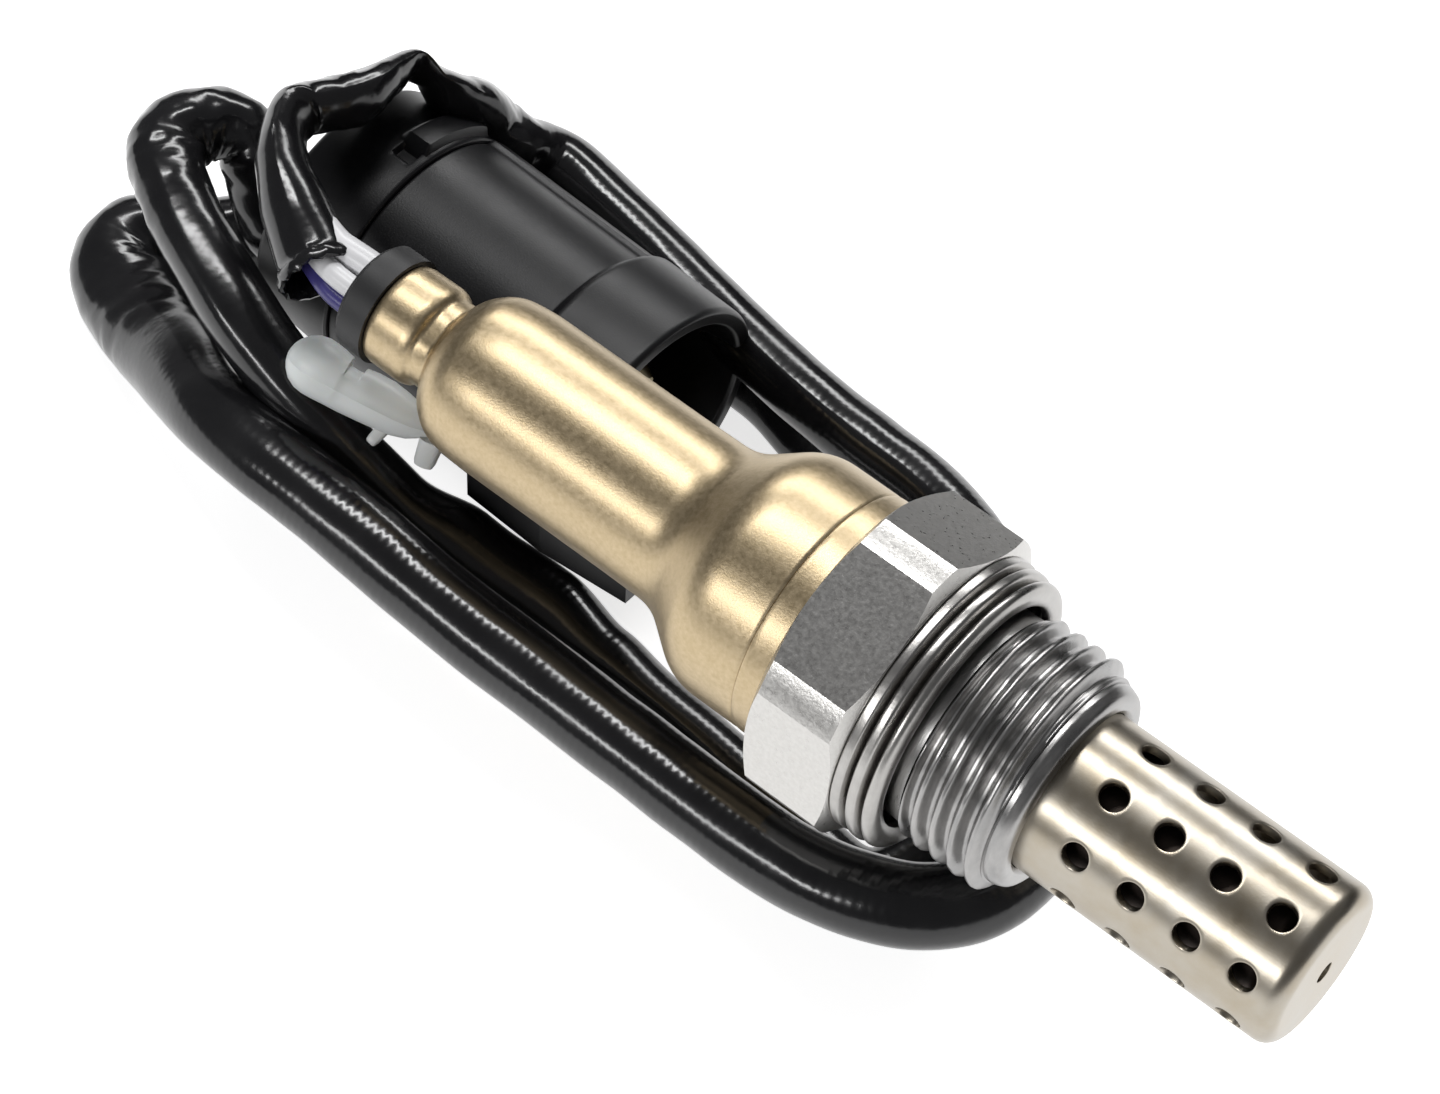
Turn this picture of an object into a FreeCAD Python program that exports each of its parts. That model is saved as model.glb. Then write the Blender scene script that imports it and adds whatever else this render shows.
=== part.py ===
import FreeCAD, Part
import Sketcher
import math
import os

Vec = FreeCAD.Vector
os.makedirs("parts", exist_ok=True)
doc = FreeCAD.newDocument("OxygenSensor")
sheet = doc.addObject("Spreadsheet::Sheet", "Sizes")

# Every size, in millimetres, with the sensor along X and its seat at x = 0
sizeList = {
    "fitGap": 0.02,
    # Threaded shell
    "hexFlats": 22.0,
    "hexCorner": 12.0,
    "hexTurn": 22.4,
    "hexRear": -7.2,
    "seatFace": 0.0,
    "hexEdge": 11.1,
    "hexEdgeWide": 0.6,
    "collarRear": -9.5,
    "collarRad": 9.6,
    "reliefRad": 8.3,
    "threadStart": 4.1,
    "threadRise": 0.5,
    "threadRad": 9.0,
    "threadEnd": 10.3,
    "ringStart": 10.8,
    "ringRad": 8.0,
    "noseRad": 7.6,
    "noseEnd": 12.1,
    # Bore of the shell
    "spigotRear": -14.6,
    "spigotRad": 7.6,
    "packBore": 6.4,
    "packFloor": -1.8,
    "elementBore": 4.1,
    "guideFront": 9.2,
    "tubeSocket": 6.25,
    # Folded gasket
    "gasketRear": 0.0,
    "gasketStep": 1.1,
    "gasketMid": 2.25,
    "gasketFront": 3.4,
    "gasketRad": 10.9,
    "gasketBand": 2.0,
    "gasketGap": 0.6,
    "gasketFold": 0.28,
    "gasketDepth": 1.3,
    # Outer protection tube
    "tubeRad": 6.2,
    "tubeWall": 0.6,
    "tubeRear": 9.2,
    "tubeFront": 32.7,
    "tubeEdge": 1.5,
    "tipHole": 0.8,
    "sideHole": 1.0,
    "holeFirst": 16.0,
    "holePitch": 4.5,
    "holeTurn": 12.5,
    # Inner protection tube
    "innerRad": 4.4,
    "innerWall": 0.45,
    "innerRear": 9.2,
    "innerLip": 5.55,
    "innerFront": 30.2,
    "innerEdge": 0.9,
    "innerHole": 0.7,
    "innerHoleAt": 27.2,
    # Zirconia element
    "elementRear": -12.0,
    "elementNeck": 3.6,
    "shoulderRear": -2.4,
    "shoulderRad": 5.6,
    "shoulderFront": 1.6,
    "elementRad": 3.0,
    "elementTipRad": 2.5,
    "elementFront": 27.6,
    "elementWell": 1.75,
    "wellFront": 25.6,
    # Packing between element and shell
    "washerWall": 0.6,
    "washerRear": -1.5,
    "talcRear": -6.4,
    "bushRear": -12.6,
    "springRear": -13.6,
    # Heater
    "heaterRad": 1.6,
    "heaterRear": -27.0,
    "heaterFront": 25.2,
    # Upper sleeve
    "flareRad": 9.6,
    "flareRear": -15.55,
    "coneRear": -19.3,
    "sleeveRad": 6.37,
    "shoulderSoft": 2.7,
    "shoulderEnd": -42.5,
    "neckRad": 3.55,
    "neckEnd": -44.4,
    "mouthStart": -44.9,
    "mouthRad": 3.95,
    "mouthEnd": -48.1,
    "sleeveWall": 0.6,
    "coneSoft": 1.2,
    # Contact holder and contacts
    "holderFront": -21.0,
    "holderRear": -37.6,
    "holderRad": 5.6,
    "holderWell": 1.9,
    "wellDepth": 6.0,
    "contactRad": 0.55,
    "contactFront": -21.6,
    "contactRear": -39.4,
    "contactPitch": 2.9,
    "crimpRad": 0.85,
    # Wire grommet
    "grommetFront": -39.6,
    "grommetBody": 4.9,
    "grommetNeck": 2.85,
    "grommetLip": 4.25,
    "grommetRear": -50.6,
    # Leads
    "leadRad": 0.92,
    "leadGap": 1.24,
    "leadStart": -39.4,
    "leadBend": -54.2,
    "leadReach": 3.0,
    # Protective sleeve of the leads
    "cordDia": 6.2,
    "cordBore": 5.4,
    "cordMouth": 2.4,
    # Connector
    "plugY": 11.0,
    "plugZ": -14.8,
    "plugSlope": 0.04,
    "plugMouth": -34.0,
    "shroudRear": -41.3,
    "shroudRad": 10.8,
    "shroudBore": 9.4,
    "bodyRad": 10.0,
    "bodyBore": 8.4,
    "boreFloor": -50.0,
    "bodyRear": -57.8,
    "stepSoft": 0.6,
    "keyWide": 2.4,
    "keyRise": 0.35,
    "capFront": -57.8,
    "capRear": -65.7,
    "capRad": 10.3,
    "capRearRad": 9.9,
    "capBore": 8.5,
    "capWall": 1.4,
    "capHole": 3.4,
    "capLip": 10.75,
    "capLipLong": 2.6,
    "capLipTurn": 19.0,
    "sealFront": -60.2,
    "sealRad": 8.4,
    "sealHub": 3.3,
    "sealRear": -66.2,
    "coreFront": -40.5,
    "coreRad": 5.8,
    "coreFlange": 8.3,
    "coreStep": -52.2,
    "coreRear": -60.2,
    "pinRad": 0.9,
    "pinPitch": 5.0,
    "pinFront": -37.6,
    "pinRear": -60.17,
    # Lock arm of the connector
    "armWide": 5.0,
    "armThick": 1.4,
    "armFront": -26.4,
    "armRear": -46.0,
    # Harness clip
    "clipBall": 2.3,
    "clipBar": 1.3,
    "clipLeg": 0.8,
}


def setSizes():
    for row, (name, value) in enumerate(sizeList.items(), start=1):
        sheet.set(f"A{row}", name)
        sheet.set(f"B{row}", str(value))
        sheet.setAlias(f"B{row}", name)
    doc.recompute()


setSizes()


def num(text):
    # Value of an expression written with the names of the sheet
    total = 0.0
    for word in text.replace("-", "+-").split("+"):
        word = word.strip()
        if not word:
            continue
        sign = 1.0
        if word.startswith("-"):
            sign, word = -1.0, word[1:].strip()
        scale = 1.0
        if "*" in word:
            word, factor = word.split("*")
            scale = float(factor)
        if "/" in word:
            word, factor = word.split("/")
            scale = 1.0 / float(factor)
        try:
            item = float(word)
        except ValueError:
            item = float(sheet.get(word.strip()))
        total += sign * item * scale
    return total


def bind(text):
    # The same expression with each name tied to the sheet
    out = ""
    word = ""
    for sign in text + " ":
        if sign.isalnum() or sign == ".":
            word += sign
            continue
        if word:
            out += word if word[0].isdigit() else "Sizes." + word
            word = ""
        out += sign
    return out.strip()


def plane(body, role):
    for item in body.Origin.OriginFeatures:
        if item.Role == role:
            return item
    raise RuntimeError(role)


def newBody(name):
    body = doc.addObject("PartDesign::Body", name + "Body")
    body.Label = name
    return body


def newSketch(body, role, name):
    sketch = body.newObject("Sketcher::SketchObject", name)
    sketch.AttachmentSupport = [(plane(body, role), "")]
    sketch.MapMode = "FlatFace"
    return sketch


def outline(sketch, points):
    # Closed outline of straight lines with every corner bound to the sheet
    spots = [Vec(num(a), num(b), 0) for a, b in points]
    count = len(spots)
    first = sketch.GeometryCount
    for i in range(count):
        sketch.addGeometry(Part.LineSegment(spots[i], spots[(i + 1) % count]), False)
    for i in range(count):
        sketch.addConstraint(Sketcher.Constraint("Coincident", first + i, 2, first + (i + 1) % count, 1))
    for i, (a, b) in enumerate(points):
        for kind, text in (("DistanceX", a), ("DistanceY", b)):
            index = sketch.addConstraint(Sketcher.Constraint(kind, first + i, 1, num(text)))
            sketch.setExpression(f"Constraints[{index}]", bind(text))


def circle(sketch, a, b, radius):
    # Circle with its centre and radius bound to the sheet
    index = sketch.addGeometry(Part.Circle(Vec(num(a), num(b), 0), Vec(0, 0, 1), num(radius)), False)
    for kind, text in (("DistanceX", a), ("DistanceY", b)):
        place = sketch.addConstraint(Sketcher.Constraint(kind, index, 3, num(text)))
        sketch.setExpression(f"Constraints[{place}]", bind(text))
    place = sketch.addConstraint(Sketcher.Constraint("Radius", index, num(radius)))
    sketch.setExpression(f"Constraints[{place}]", bind(radius))


def turned(body, name, points, cut=False):
    # Turned feature about X from an outline of (x, radius) corners
    sketch = newSketch(body, "XY_Plane", name + "Outline")
    outline(sketch, points)
    doc.recompute()
    kind = "PartDesign::Groove" if cut else "PartDesign::Revolution"
    before = body.Shape.Volume if cut else 0.0
    feature = body.newObject(kind, name)
    feature.Profile = sketch
    feature.ReferenceAxis = (sketch, ["H_Axis"])
    feature.Angle = 360.0
    doc.recompute()
    body.Tip = feature
    if cut:
        check(body, before, name)
    return feature


def check(body, before, name):
    # A cut has to take material away
    doc.recompute()
    taken = before - body.Shape.Volume
    if taken <= 1e-6:
        raise RuntimeError(f"{name} cuts nothing")
    print("cut", name, round(taken, 3))


def soften(body, name, size, spots):
    # Rounds the turned edges that lie at the given (x, radius) places
    picked = []
    base = body.Tip
    for i, edge in enumerate(base.Shape.Edges, start=1):
        if not isinstance(edge.Curve, Part.Circle):
            continue
        centre = edge.Curve.Center
        for x, radius in spots:
            near = abs(centre.x - num(x)) < 0.02 and abs(edge.Curve.Radius - num(radius)) < 0.02
            if near and abs(centre.y) + abs(centre.z) < 0.02:
                picked.append(f"Edge{i}")
    if not picked:
        raise RuntimeError(f"{name} finds no edge")
    fillet = body.newObject("PartDesign::Fillet", name)
    fillet.Base = (base, picked)
    fillet.Radius = size if isinstance(size, float) else num(size)
    if not isinstance(size, float):
        fillet.setExpression("Radius", bind(size))
    doc.recompute()
    body.Tip = fillet
    return fillet


def drill(body, name, spots, role, length, offset=None, back=False, both=False):
    # Round holes cut from a sketch plane
    sketch = newSketch(body, role, name + "Holes")
    if offset is not None:
        sketch.AttachmentOffset = offset
    for a, b, radius in spots:
        circle(sketch, a, b, radius)
    doc.recompute()
    before = body.Shape.Volume
    pocket = body.newObject("PartDesign::Pocket", name)
    pocket.Profile = sketch
    pocket.Type = 0
    pocket.Length = num(length)
    pocket.Reversed = back
    pocket.Midplane = both
    doc.recompute()
    body.Tip = pocket
    check(body, before, name)
    return pocket


# Threaded shell: hexagon first, then the turned steps and the bore
shell = newBody("threaded_shell")
hexSketch = newSketch(shell, "YZ_Plane", "HexOutline")
hexRad = num("hexFlats") / 2 / math.cos(math.radians(30))
corners = []
for k in range(6):
    turn = math.radians(90 + num("hexTurn") + 30 + 60 * k)
    corners.append(Vec(hexRad * math.cos(turn), hexRad * math.sin(turn), 0))
for k in range(6):
    hexSketch.addGeometry(Part.LineSegment(corners[k], corners[(k + 1) % 6]), False)
ring = hexSketch.addGeometry(Part.Circle(Vec(0, 0, 0), Vec(0, 0, 1), hexRad), True)
for k in range(6):
    hexSketch.addConstraint(Sketcher.Constraint("Coincident", k, 2, (k + 1) % 6, 1))
    hexSketch.addConstraint(Sketcher.Constraint("PointOnObject", k, 1, ring))
hexSketch.addConstraint(Sketcher.Constraint("Coincident", ring, 3, -1, 1))
for k in range(5):
    hexSketch.addConstraint(Sketcher.Constraint("Equal", k, k + 1))
place = hexSketch.addConstraint(Sketcher.Constraint("Radius", ring, hexRad))
hexSketch.setExpression(f"Constraints[{place}]", "Sizes.hexFlats / 2 / cos(30deg)")
place = hexSketch.addConstraint(Sketcher.Constraint("DistanceX", 0, 1, corners[0].x))
hexSketch.setExpression(
    f"Constraints[{place}]", "Sizes.hexFlats / 2 / cos(30deg) * cos((120 + Sizes.hexTurn) * 1deg)"
)
doc.recompute()
hexPad = shell.newObject("PartDesign::Pad", "HexPad")
hexPad.Profile = hexSketch
hexPad.Length = -num("hexRear")
hexPad.setExpression("Length", "-Sizes.hexRear")
hexPad.Reversed = True
doc.recompute()
shell.Tip = hexPad
turned(shell, "HexTurned", [
    ("hexRear-1", "hexEdge-0.35"),
    ("hexRear-1", "hexCorner+3"),
    ("seatFace+1", "hexCorner+3"),
    ("seatFace+1", "hexEdge-0.35"),
    ("seatFace-hexEdgeWide", "hexCorner"),
    ("hexRear+hexEdgeWide", "hexCorner"),
], cut=True)
turned(shell, "ShellSteps", [
    ("spigotRear", "0"),
    ("spigotRear", "spigotRad"),
    ("collarRear", "spigotRad"),
    ("collarRear", "collarRad"),
    ("hexRear+0.5", "collarRad"),
    ("hexRear+0.5", "gasketRad-gasketBand-gasketGap"),
    ("gasketFront", "gasketRad-gasketBand-gasketGap"),
    ("threadStart", "reliefRad"),
    ("threadStart+threadRise", "threadRad"),
    ("threadEnd", "threadRad"),
    ("ringStart", "ringRad"),
    ("noseEnd", "noseRad"),
    ("noseEnd", "0"),
])
turned(shell, "ShellBore", [
    ("spigotRear-1", "0"),
    ("spigotRear-1", "packBore"),
    ("packFloor", "packBore"),
    ("shoulderFront", "elementBore"),
    ("guideFront", "elementBore"),
    ("guideFront", "tubeSocket"),
    ("noseEnd+1", "tubeSocket"),
    ("noseEnd+1", "0"),
], cut=True)

# Folded crush gasket on the seat
gasket = newBody("gasket_ring")
turned(gasket, "GasketRing", [
    ("gasketRear", "gasketRad-gasketBand"),
    ("gasketRear", "gasketRad"),
    ("gasketStep-gasketFold", "gasketRad"),
    ("gasketStep-gasketFold/2", "gasketRad-gasketDepth"),
    ("gasketStep", "gasketRad"),
    ("gasketMid-gasketFold/2", "gasketRad-0.05"),
    ("gasketMid", "gasketRad-gasketDepth"),
    ("gasketMid+gasketFold/2", "gasketRad-0.05"),
    ("gasketFront-0.4", "gasketRad-0.1"),
    ("gasketFront", "gasketRad-0.5"),
    ("gasketFront", "gasketRad-gasketBand+0.2"),
    ("gasketFront-0.2", "gasketRad-gasketBand"),
])

# Outer protection tube with its rows of side holes
tube = newBody("outer_protection_tube")
turned(tube, "OuterTube", [
    ("tubeRear", "tubeRad-tubeWall"),
    ("tubeRear", "tubeRad"),
    ("tubeFront", "tubeRad"),
    ("tubeFront", "tipHole"),
    ("tubeFront-tubeWall", "tipHole"),
    ("tubeFront-tubeWall", "tubeRad-tubeWall"),
])
soften(tube, "TubeEdge", "tubeEdge", [("tubeFront", "tubeRad")])
soften(tube, "TubeInside", 0.9, [("tubeFront-tubeWall", "tubeRad-tubeWall")])
turn = FreeCAD.Placement(Vec(0, 0, 0), FreeCAD.Rotation(Vec(1, 0, 0), num("holeTurn")))
rows = [(f"holeFirst+holePitch*{k}", "0", "sideHole") for k in range(4)]
holes = drill(tube, "SideHole", rows, "XZ_Plane", "tubeRad+1", turn)
pattern = tube.newObject("PartDesign::PolarPattern", "SideHoles")
pattern.Originals = [holes]
pattern.Axis = (plane(tube, "X_Axis"), [""])
pattern.Angle = 360.0
pattern.Occurrences = 8
doc.recompute()
tube.Tip = pattern

# Inner protection tube, held between the outer tube and the shell
inner = newBody("inner_protection_tube")
turned(inner, "InnerTube", [
    ("innerRear", "innerRad-innerWall"),
    ("innerRear", "innerLip"),
    ("innerRear+innerWall", "innerLip"),
    ("innerRear+innerWall", "innerRad"),
    ("innerFront", "innerRad"),
    ("innerFront", "tipHole"),
    ("innerFront-innerWall", "tipHole"),
    ("innerFront-innerWall", "innerRad-innerWall"),
])
soften(inner, "InnerEdge", "innerEdge", [("innerFront", "innerRad")])
innerHoles = drill(inner, "InnerHole", [("innerHoleAt", "0", "innerHole")], "XZ_Plane", "innerRad+1")
pattern = inner.newObject("PartDesign::PolarPattern", "InnerHoles")
pattern.Originals = [innerHoles]
pattern.Axis = (plane(inner, "X_Axis"), [""])
pattern.Angle = 360.0
pattern.Occurrences = 6
doc.recompute()
inner.Tip = pattern

# Closed zirconia element with its well for the heater
element = newBody("sensing_element")
turned(element, "ElementBody", [
    ("elementRear", "elementWell"),
    ("elementRear", "elementNeck"),
    ("shoulderRear-1.2", "elementNeck"),
    ("shoulderRear", "shoulderRad"),
    ("washerRear", "shoulderRad"),
    ("shoulderFront", "elementBore-washerWall"),
    ("shoulderFront+1.2", "elementRad+0.2"),
    ("elementFront-6", "elementTipRad+0.1"),
    ("elementFront-1", "elementTipRad"),
    ("elementFront", "elementTipRad-1.2"),
    ("elementFront", "0"),
    ("wellFront", "0"),
    ("wellFront", "elementWell"),
])

# Metal washer between the element shoulder and the shell seat
washer = newBody("seat_washer")
turned(washer, "WasherRing", [
    ("washerRear", "shoulderRad"),
    ("washerRear", "shoulderRad+washerWall-fitGap"),
    ("shoulderFront", "elementBore-fitGap"),
    ("shoulderFront", "elementBore-washerWall"),
])

# Talc packing, ceramic bush and spring ring behind the shoulder
talc = newBody("talc_seal")
turned(talc, "TalcRing", [
    ("talcRear", "elementNeck"),
    ("talcRear", "packBore"),
    ("shoulderRear", "packBore"),
    ("shoulderRear", "shoulderRad"),
    ("shoulderRear-1.2", "elementNeck"),
])
bush = newBody("ceramic_bush")
turned(bush, "BushRing", [
    ("bushRear", "elementNeck+0.3"),
    ("bushRear", "packBore-0.1"),
    ("talcRear", "packBore-0.1"),
    ("talcRear", "elementNeck+0.1"),
])
spring = newBody("spring_ring")
turned(spring, "SpringRing", [
    ("springRear", "elementNeck+0.8"),
    ("springRear+0.35", "packBore"),
    ("bushRear", "packBore"),
    ("bushRear", "elementNeck+0.8"),
])

# Heater rod inside the element
heater = newBody("heater_rod")
turned(heater, "HeaterRod", [
    ("heaterRear", "0"),
    ("heaterRear", "heaterRad"),
    ("heaterFront-0.6", "heaterRad"),
    ("heaterFront", "heaterRad-0.6"),
    ("heaterFront", "0"),
])

# Upper sleeve: flare, tube, rounded shoulder, crimped neck and mouth
upper = newBody("upper_sleeve")
turned(upper, "UpperSleeve", [
    ("collarRear", "spigotRad+0.05"),
    ("collarRear", "flareRad"),
    ("flareRear", "flareRad"),
    ("coneRear", "sleeveRad"),
    ("shoulderEnd", "sleeveRad"),
    ("shoulderEnd", "neckRad"),
    ("neckEnd", "neckRad"),
    ("mouthStart", "mouthRad"),
    ("mouthEnd", "mouthRad"),
    ("mouthEnd", "mouthRad-sleeveWall"),
    ("mouthStart", "mouthRad-sleeveWall"),
    ("neckEnd", "neckRad-sleeveWall"),
    ("shoulderEnd+sleeveWall", "neckRad-sleeveWall"),
    ("shoulderEnd+sleeveWall", "sleeveRad-sleeveWall"),
    ("coneRear", "sleeveRad-sleeveWall"),
    ("spigotRear", "spigotRad+0.05"),
])
soften(upper, "FlareSoft", "coneSoft", [("flareRear", "flareRad"), ("coneRear", "sleeveRad")])
soften(upper, "ShoulderSoft", "shoulderSoft", [("shoulderEnd", "sleeveRad")])
soften(upper, "ShoulderInside", "shoulderSoft-sleeveWall", [("shoulderEnd+sleeveWall", "sleeveRad-sleeveWall")])

# Ceramic holder that carries the four contacts and the rear of the heater
holder = newBody("contact_holder")
turned(holder, "HolderBody", [
    ("holderRear", "0"),
    ("holderRear", "holderRad-0.8"),
    ("holderRear+0.8", "holderRad"),
    ("holderFront", "holderRad"),
    ("holderFront", "0"),
])
turned(holder, "HolderWell", [
    ("holderFront-wellDepth", "0"),
    ("holderFront-wellDepth", "holderWell"),
    ("holderFront+1", "holderWell"),
    ("holderFront+1", "0"),
], cut=True)
turns = [math.radians(45 + 90 * k) for k in range(4)]
contactSpots = []
for turn in turns:
    contactSpots.append((num("contactPitch") * math.cos(turn), num("contactPitch") * math.sin(turn)))
holderHoles = newSketch(holder, "YZ_Plane", "ContactHoles")
for y, z in contactSpots:
    sy = "" if y > 0 else "-"
    sz = "" if z > 0 else "-"
    circle(holderHoles, f"{sy}contactPitch*0.70711", f"{sz}contactPitch*0.70711", "contactRad+0.05")
doc.recompute()
before = holder.Shape.Volume
contactCut = holder.newObject("PartDesign::Pocket", "ContactCut")
contactCut.Profile = holderHoles
contactCut.Type = 1
contactCut.Reversed = False
doc.recompute()
if holder.Shape.Volume >= before:
    contactCut.Reversed = True
    doc.recompute()
holder.Tip = contactCut
check(holder, before, "ContactCut")

# Four contacts: a rod with a crimp barrel at its rear
leadNames = ["white_one", "white_two", "black", "violet"]
contactBodies = []
for k, (y, z) in enumerate(contactSpots):
    barrel = Part.makeCylinder(
        num("crimpRad"), num("holderRear-contactRear"), Vec(num("contactRear"), y, z), Vec(1, 0, 0)
    )
    rod = Part.makeCylinder(
        num("contactRad"), num("contactFront-holderRear"), Vec(num("holderRear"), y, z), Vec(1, 0, 0)
    )
    item = doc.addObject("Part::Feature", f"contact_{leadNames[k]}Shape")
    item.Label = f"contact_{leadNames[k]}"
    item.Shape = rod.fuse(barrel).removeSplitter()
    contactBodies.append(item)

# Rubber grommet gripped by the neck
grommet = newBody("wire_grommet")
turned(grommet, "GrommetBody", [
    ("grommetRear", "0"),
    ("grommetRear", "grommetLip-0.4"),
    ("grommetRear+0.4", "grommetLip"),
    ("mouthEnd", "grommetLip"),
    ("mouthEnd", "mouthRad-sleeveWall-0.05"),
    ("mouthStart", "mouthRad-sleeveWall-0.05"),
    ("neckEnd", "grommetNeck"),
    ("shoulderEnd+sleeveWall+0.05", "grommetNeck"),
    ("shoulderEnd+sleeveWall+0.05", "grommetNeck+0.6"),
    ("grommetFront-1", "grommetBody-0.9"),
    ("grommetFront", "grommetBody-0.9"),
    ("grommetFront", "0"),
])
grommetHoles = newSketch(grommet, "YZ_Plane", "LeadHoles")
for sy, sz in (("", ""), ("-", ""), ("-", "-"), ("", "-")):
    circle(grommetHoles, f"{sy}leadGap*0.9", f"{sz}leadGap*0.9", "leadRad+0.02")
doc.recompute()
before = grommet.Shape.Volume
leadCut = grommet.newObject("PartDesign::Pocket", "LeadCut")
leadCut.Profile = grommetHoles
leadCut.Type = 1
doc.recompute()
if grommet.Shape.Volume >= before:
    leadCut.Reversed = True
    doc.recompute()
grommet.Tip = leadCut
check(grommet, before, "LeadCut")


def plugPlace(turn):
    # Place of a connector piece on the connector's own axis, turned about it
    yaw = math.atan(num("plugSlope"))
    baseY = num("plugY") + num("plugMouth") * num("plugSlope")
    base = Vec(num("plugMouth") * (1 - math.cos(yaw)), baseY, num("plugZ"))
    swing = FreeCAD.Rotation(Vec(0, 0, 1), -math.degrees(yaw))
    return FreeCAD.Placement(base, swing.multiply(FreeCAD.Rotation(Vec(1, 0, 0), turn)))


def plugRear(back):
    # Spot on the connector's axis behind its seal
    return tuple(plugPlace(0).multVec(Vec(num("sealRear") - back, 0, 0)))


# Centreline of the protective sleeve, placed by hand from the sensor to the connector
low = -25.6 + num("cordDia") / 2
cordPoints = [
    (-55.0, 0.2, 0.2), (-59.7, 1.6, 0.8), (-63.2, 4.8, 1.0), (-65.2, 9.4, 0.9),
    (-65.6, 14.2, 0.0), (-64.2, 18.8, -2.0), (-61.0, 22.9, -5.4), (-56.4, 25.6, -10.8),
    (-50.4, 25.8, -15.0), (-42.0, 25.3, -16.4), (-32.0, 25.1, -16.4), (-22.5, 23.9, -16.0),
    (-14.0, 21.3, -15.4), (-6.6, 17.2, -14.5), (0.4, 12.2, -13.6), (6.0, 7.0, -13.2),
    (8.8, 0.4, -13.1), (6.4, -6.2, -13.6), (-0.8, -10.2, -13.7), (-11.0, -10.8, -13.8),
    (-22.4, -10.4, -14.0), (-33.9, -10.6, -13.6), (-46.0, -11.3, -12.6), (-56.0, -11.9, -12.6),
    (-64.2, -8.8, -15.8), (-71.2, -5.8, -20.2), (-77.2, -3.6, low), (-81.0, -1.2, low),
    (-81.8, 2.8, low), (-78.8, 6.4, low), (-74.4, 8.8, low), (-72.2, 13.4, low),
    (-71.4, 18.4, low), (-67.0, 23.2, low), (-58.6, 24.0, low), (-47.6, 23.2, low),
    (-36.0, 23.2, low), (-25.0, 23.0, low), (-15.0, 22.0, low), (-6.6, 18.4, low),
    (-1.0, 12.6, low), (1.0, 5.0, low), (-0.4, -3.2, low), (-6.0, -8.0, low),
    (-14.4, -8.4, low), (-24.0, -6.0, low), (-35.0, -4.9, -22.3), (-43.6, -5.2, -19.6),
    (-50.4, -5.3, -14.9), (-56.8, -5.2, -11.0), (-63.6, -4.0, -8.2), (-70.4, -1.9, -8.0),
    (-75.8, 2.2, -8.3), (-77.6, 7.8, -9.2), (-76.0, 12.5, -11.6), plugRear(5.6), plugRear(0),
]


def cordWire(points, share=0.45):
    # Straight runs joined by tangent arcs, as one wire
    spots = [Vec(*p) for p in points]
    edges = []
    radii = []
    start = spots[0]
    for i in range(1, len(spots) - 1):
        here = spots[i]
        back = spots[i - 1] - here
        ahead = spots[i + 1] - here
        reach = share * min(back.Length, ahead.Length)
        back.normalize()
        ahead.normalize()
        half = math.acos(max(-1.0, min(1.0, -(back * ahead)))) / 2
        radius = reach / math.tan(half)
        radii.append(radius)
        a = here + back * reach
        b = here + ahead * reach
        mid = back + ahead
        mid.normalize()
        top = here + mid * (math.hypot(reach, radius) - radius)
        edges.append(Part.LineSegment(start, a).toShape())
        edges.append(Part.Arc(a, top, b).toShape())
        start = b
    edges.append(Part.LineSegment(start, spots[-1]).toShape())
    return Part.Wire(edges), radii


def sweep(points, radius, share=0.45):
    path, radii = cordWire(points, share)
    ahead = Vec(*points[1]) - Vec(*points[0])
    ring = Part.Wire([Part.Circle(Vec(*points[0]), ahead, radius).toShape()])
    solid = path.makePipeShell([ring], True, True)
    return solid, path, radii


cordSolid, cordPath, cordRadii = sweep(cordPoints, num("cordDia") / 2)
section = math.pi * num("cordDia") ** 2 / 4
print("sleeve arc radii", [round(r, 1) for r in cordRadii])
print("sleeve length", round(cordPath.Length, 1), "volume ratio", round(cordSolid.Volume / section / cordPath.Length, 4))
cordStart = Vec(*cordPoints[0])
cordWay = Vec(*cordPoints[1]) - cordStart
cordWay.normalize()
mouthCut = Part.makeCylinder(num("cordBore") / 2, num("cordMouth") + 1, cordStart - cordWay, cordWay)
protective = doc.addObject("Part::Feature", "protective_sleeveShape")
protective.Label = "protective_sleeve"
protective.Shape = cordSolid.cut(mouthCut)

# Four leads from the contacts through the grommet into the mouth of the sleeve
leadBodies = []
leadAxis = Vec(num("leadBend"), 0, 0)
across = cordWay.cross(Vec(0, 0, 1))
across.normalize()
upward = across.cross(cordWay)
for k, (sy, sz) in enumerate(((1, 1), (-1, 1), (-1, -1), (1, -1))):
    gap = num("leadGap") * 0.9
    endSpot = cordStart + cordWay * num("cordMouth") + across * (gap * sy) + upward * (gap * sz)
    bendSpot = endSpot - cordWay * num("leadReach")
    bendSpot.x = num("leadBend")
    along = (endSpot.x - bendSpot.x) / cordWay.x
    bendSpot = endSpot - cordWay * along
    inSpot = Vec(num("grommetRear") - 0.8, gap * sy, gap * sz)
    startSpot = Vec(num("leadStart"), gap * sy, gap * sz)
    points = [tuple(startSpot), tuple(inSpot), tuple(bendSpot), tuple(endSpot)]
    solid, path, radii = sweep(points, num("leadRad"), 0.4)
    print("lead", leadNames[k], "radii", [round(r, 1) for r in radii], "length", round(path.Length, 2))
    item = doc.addObject("Part::Feature", f"lead_{leadNames[k]}Shape")
    item.Label = f"lead_{leadNames[k]}"
    item.Shape = solid
    leadBodies.append(item)

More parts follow.
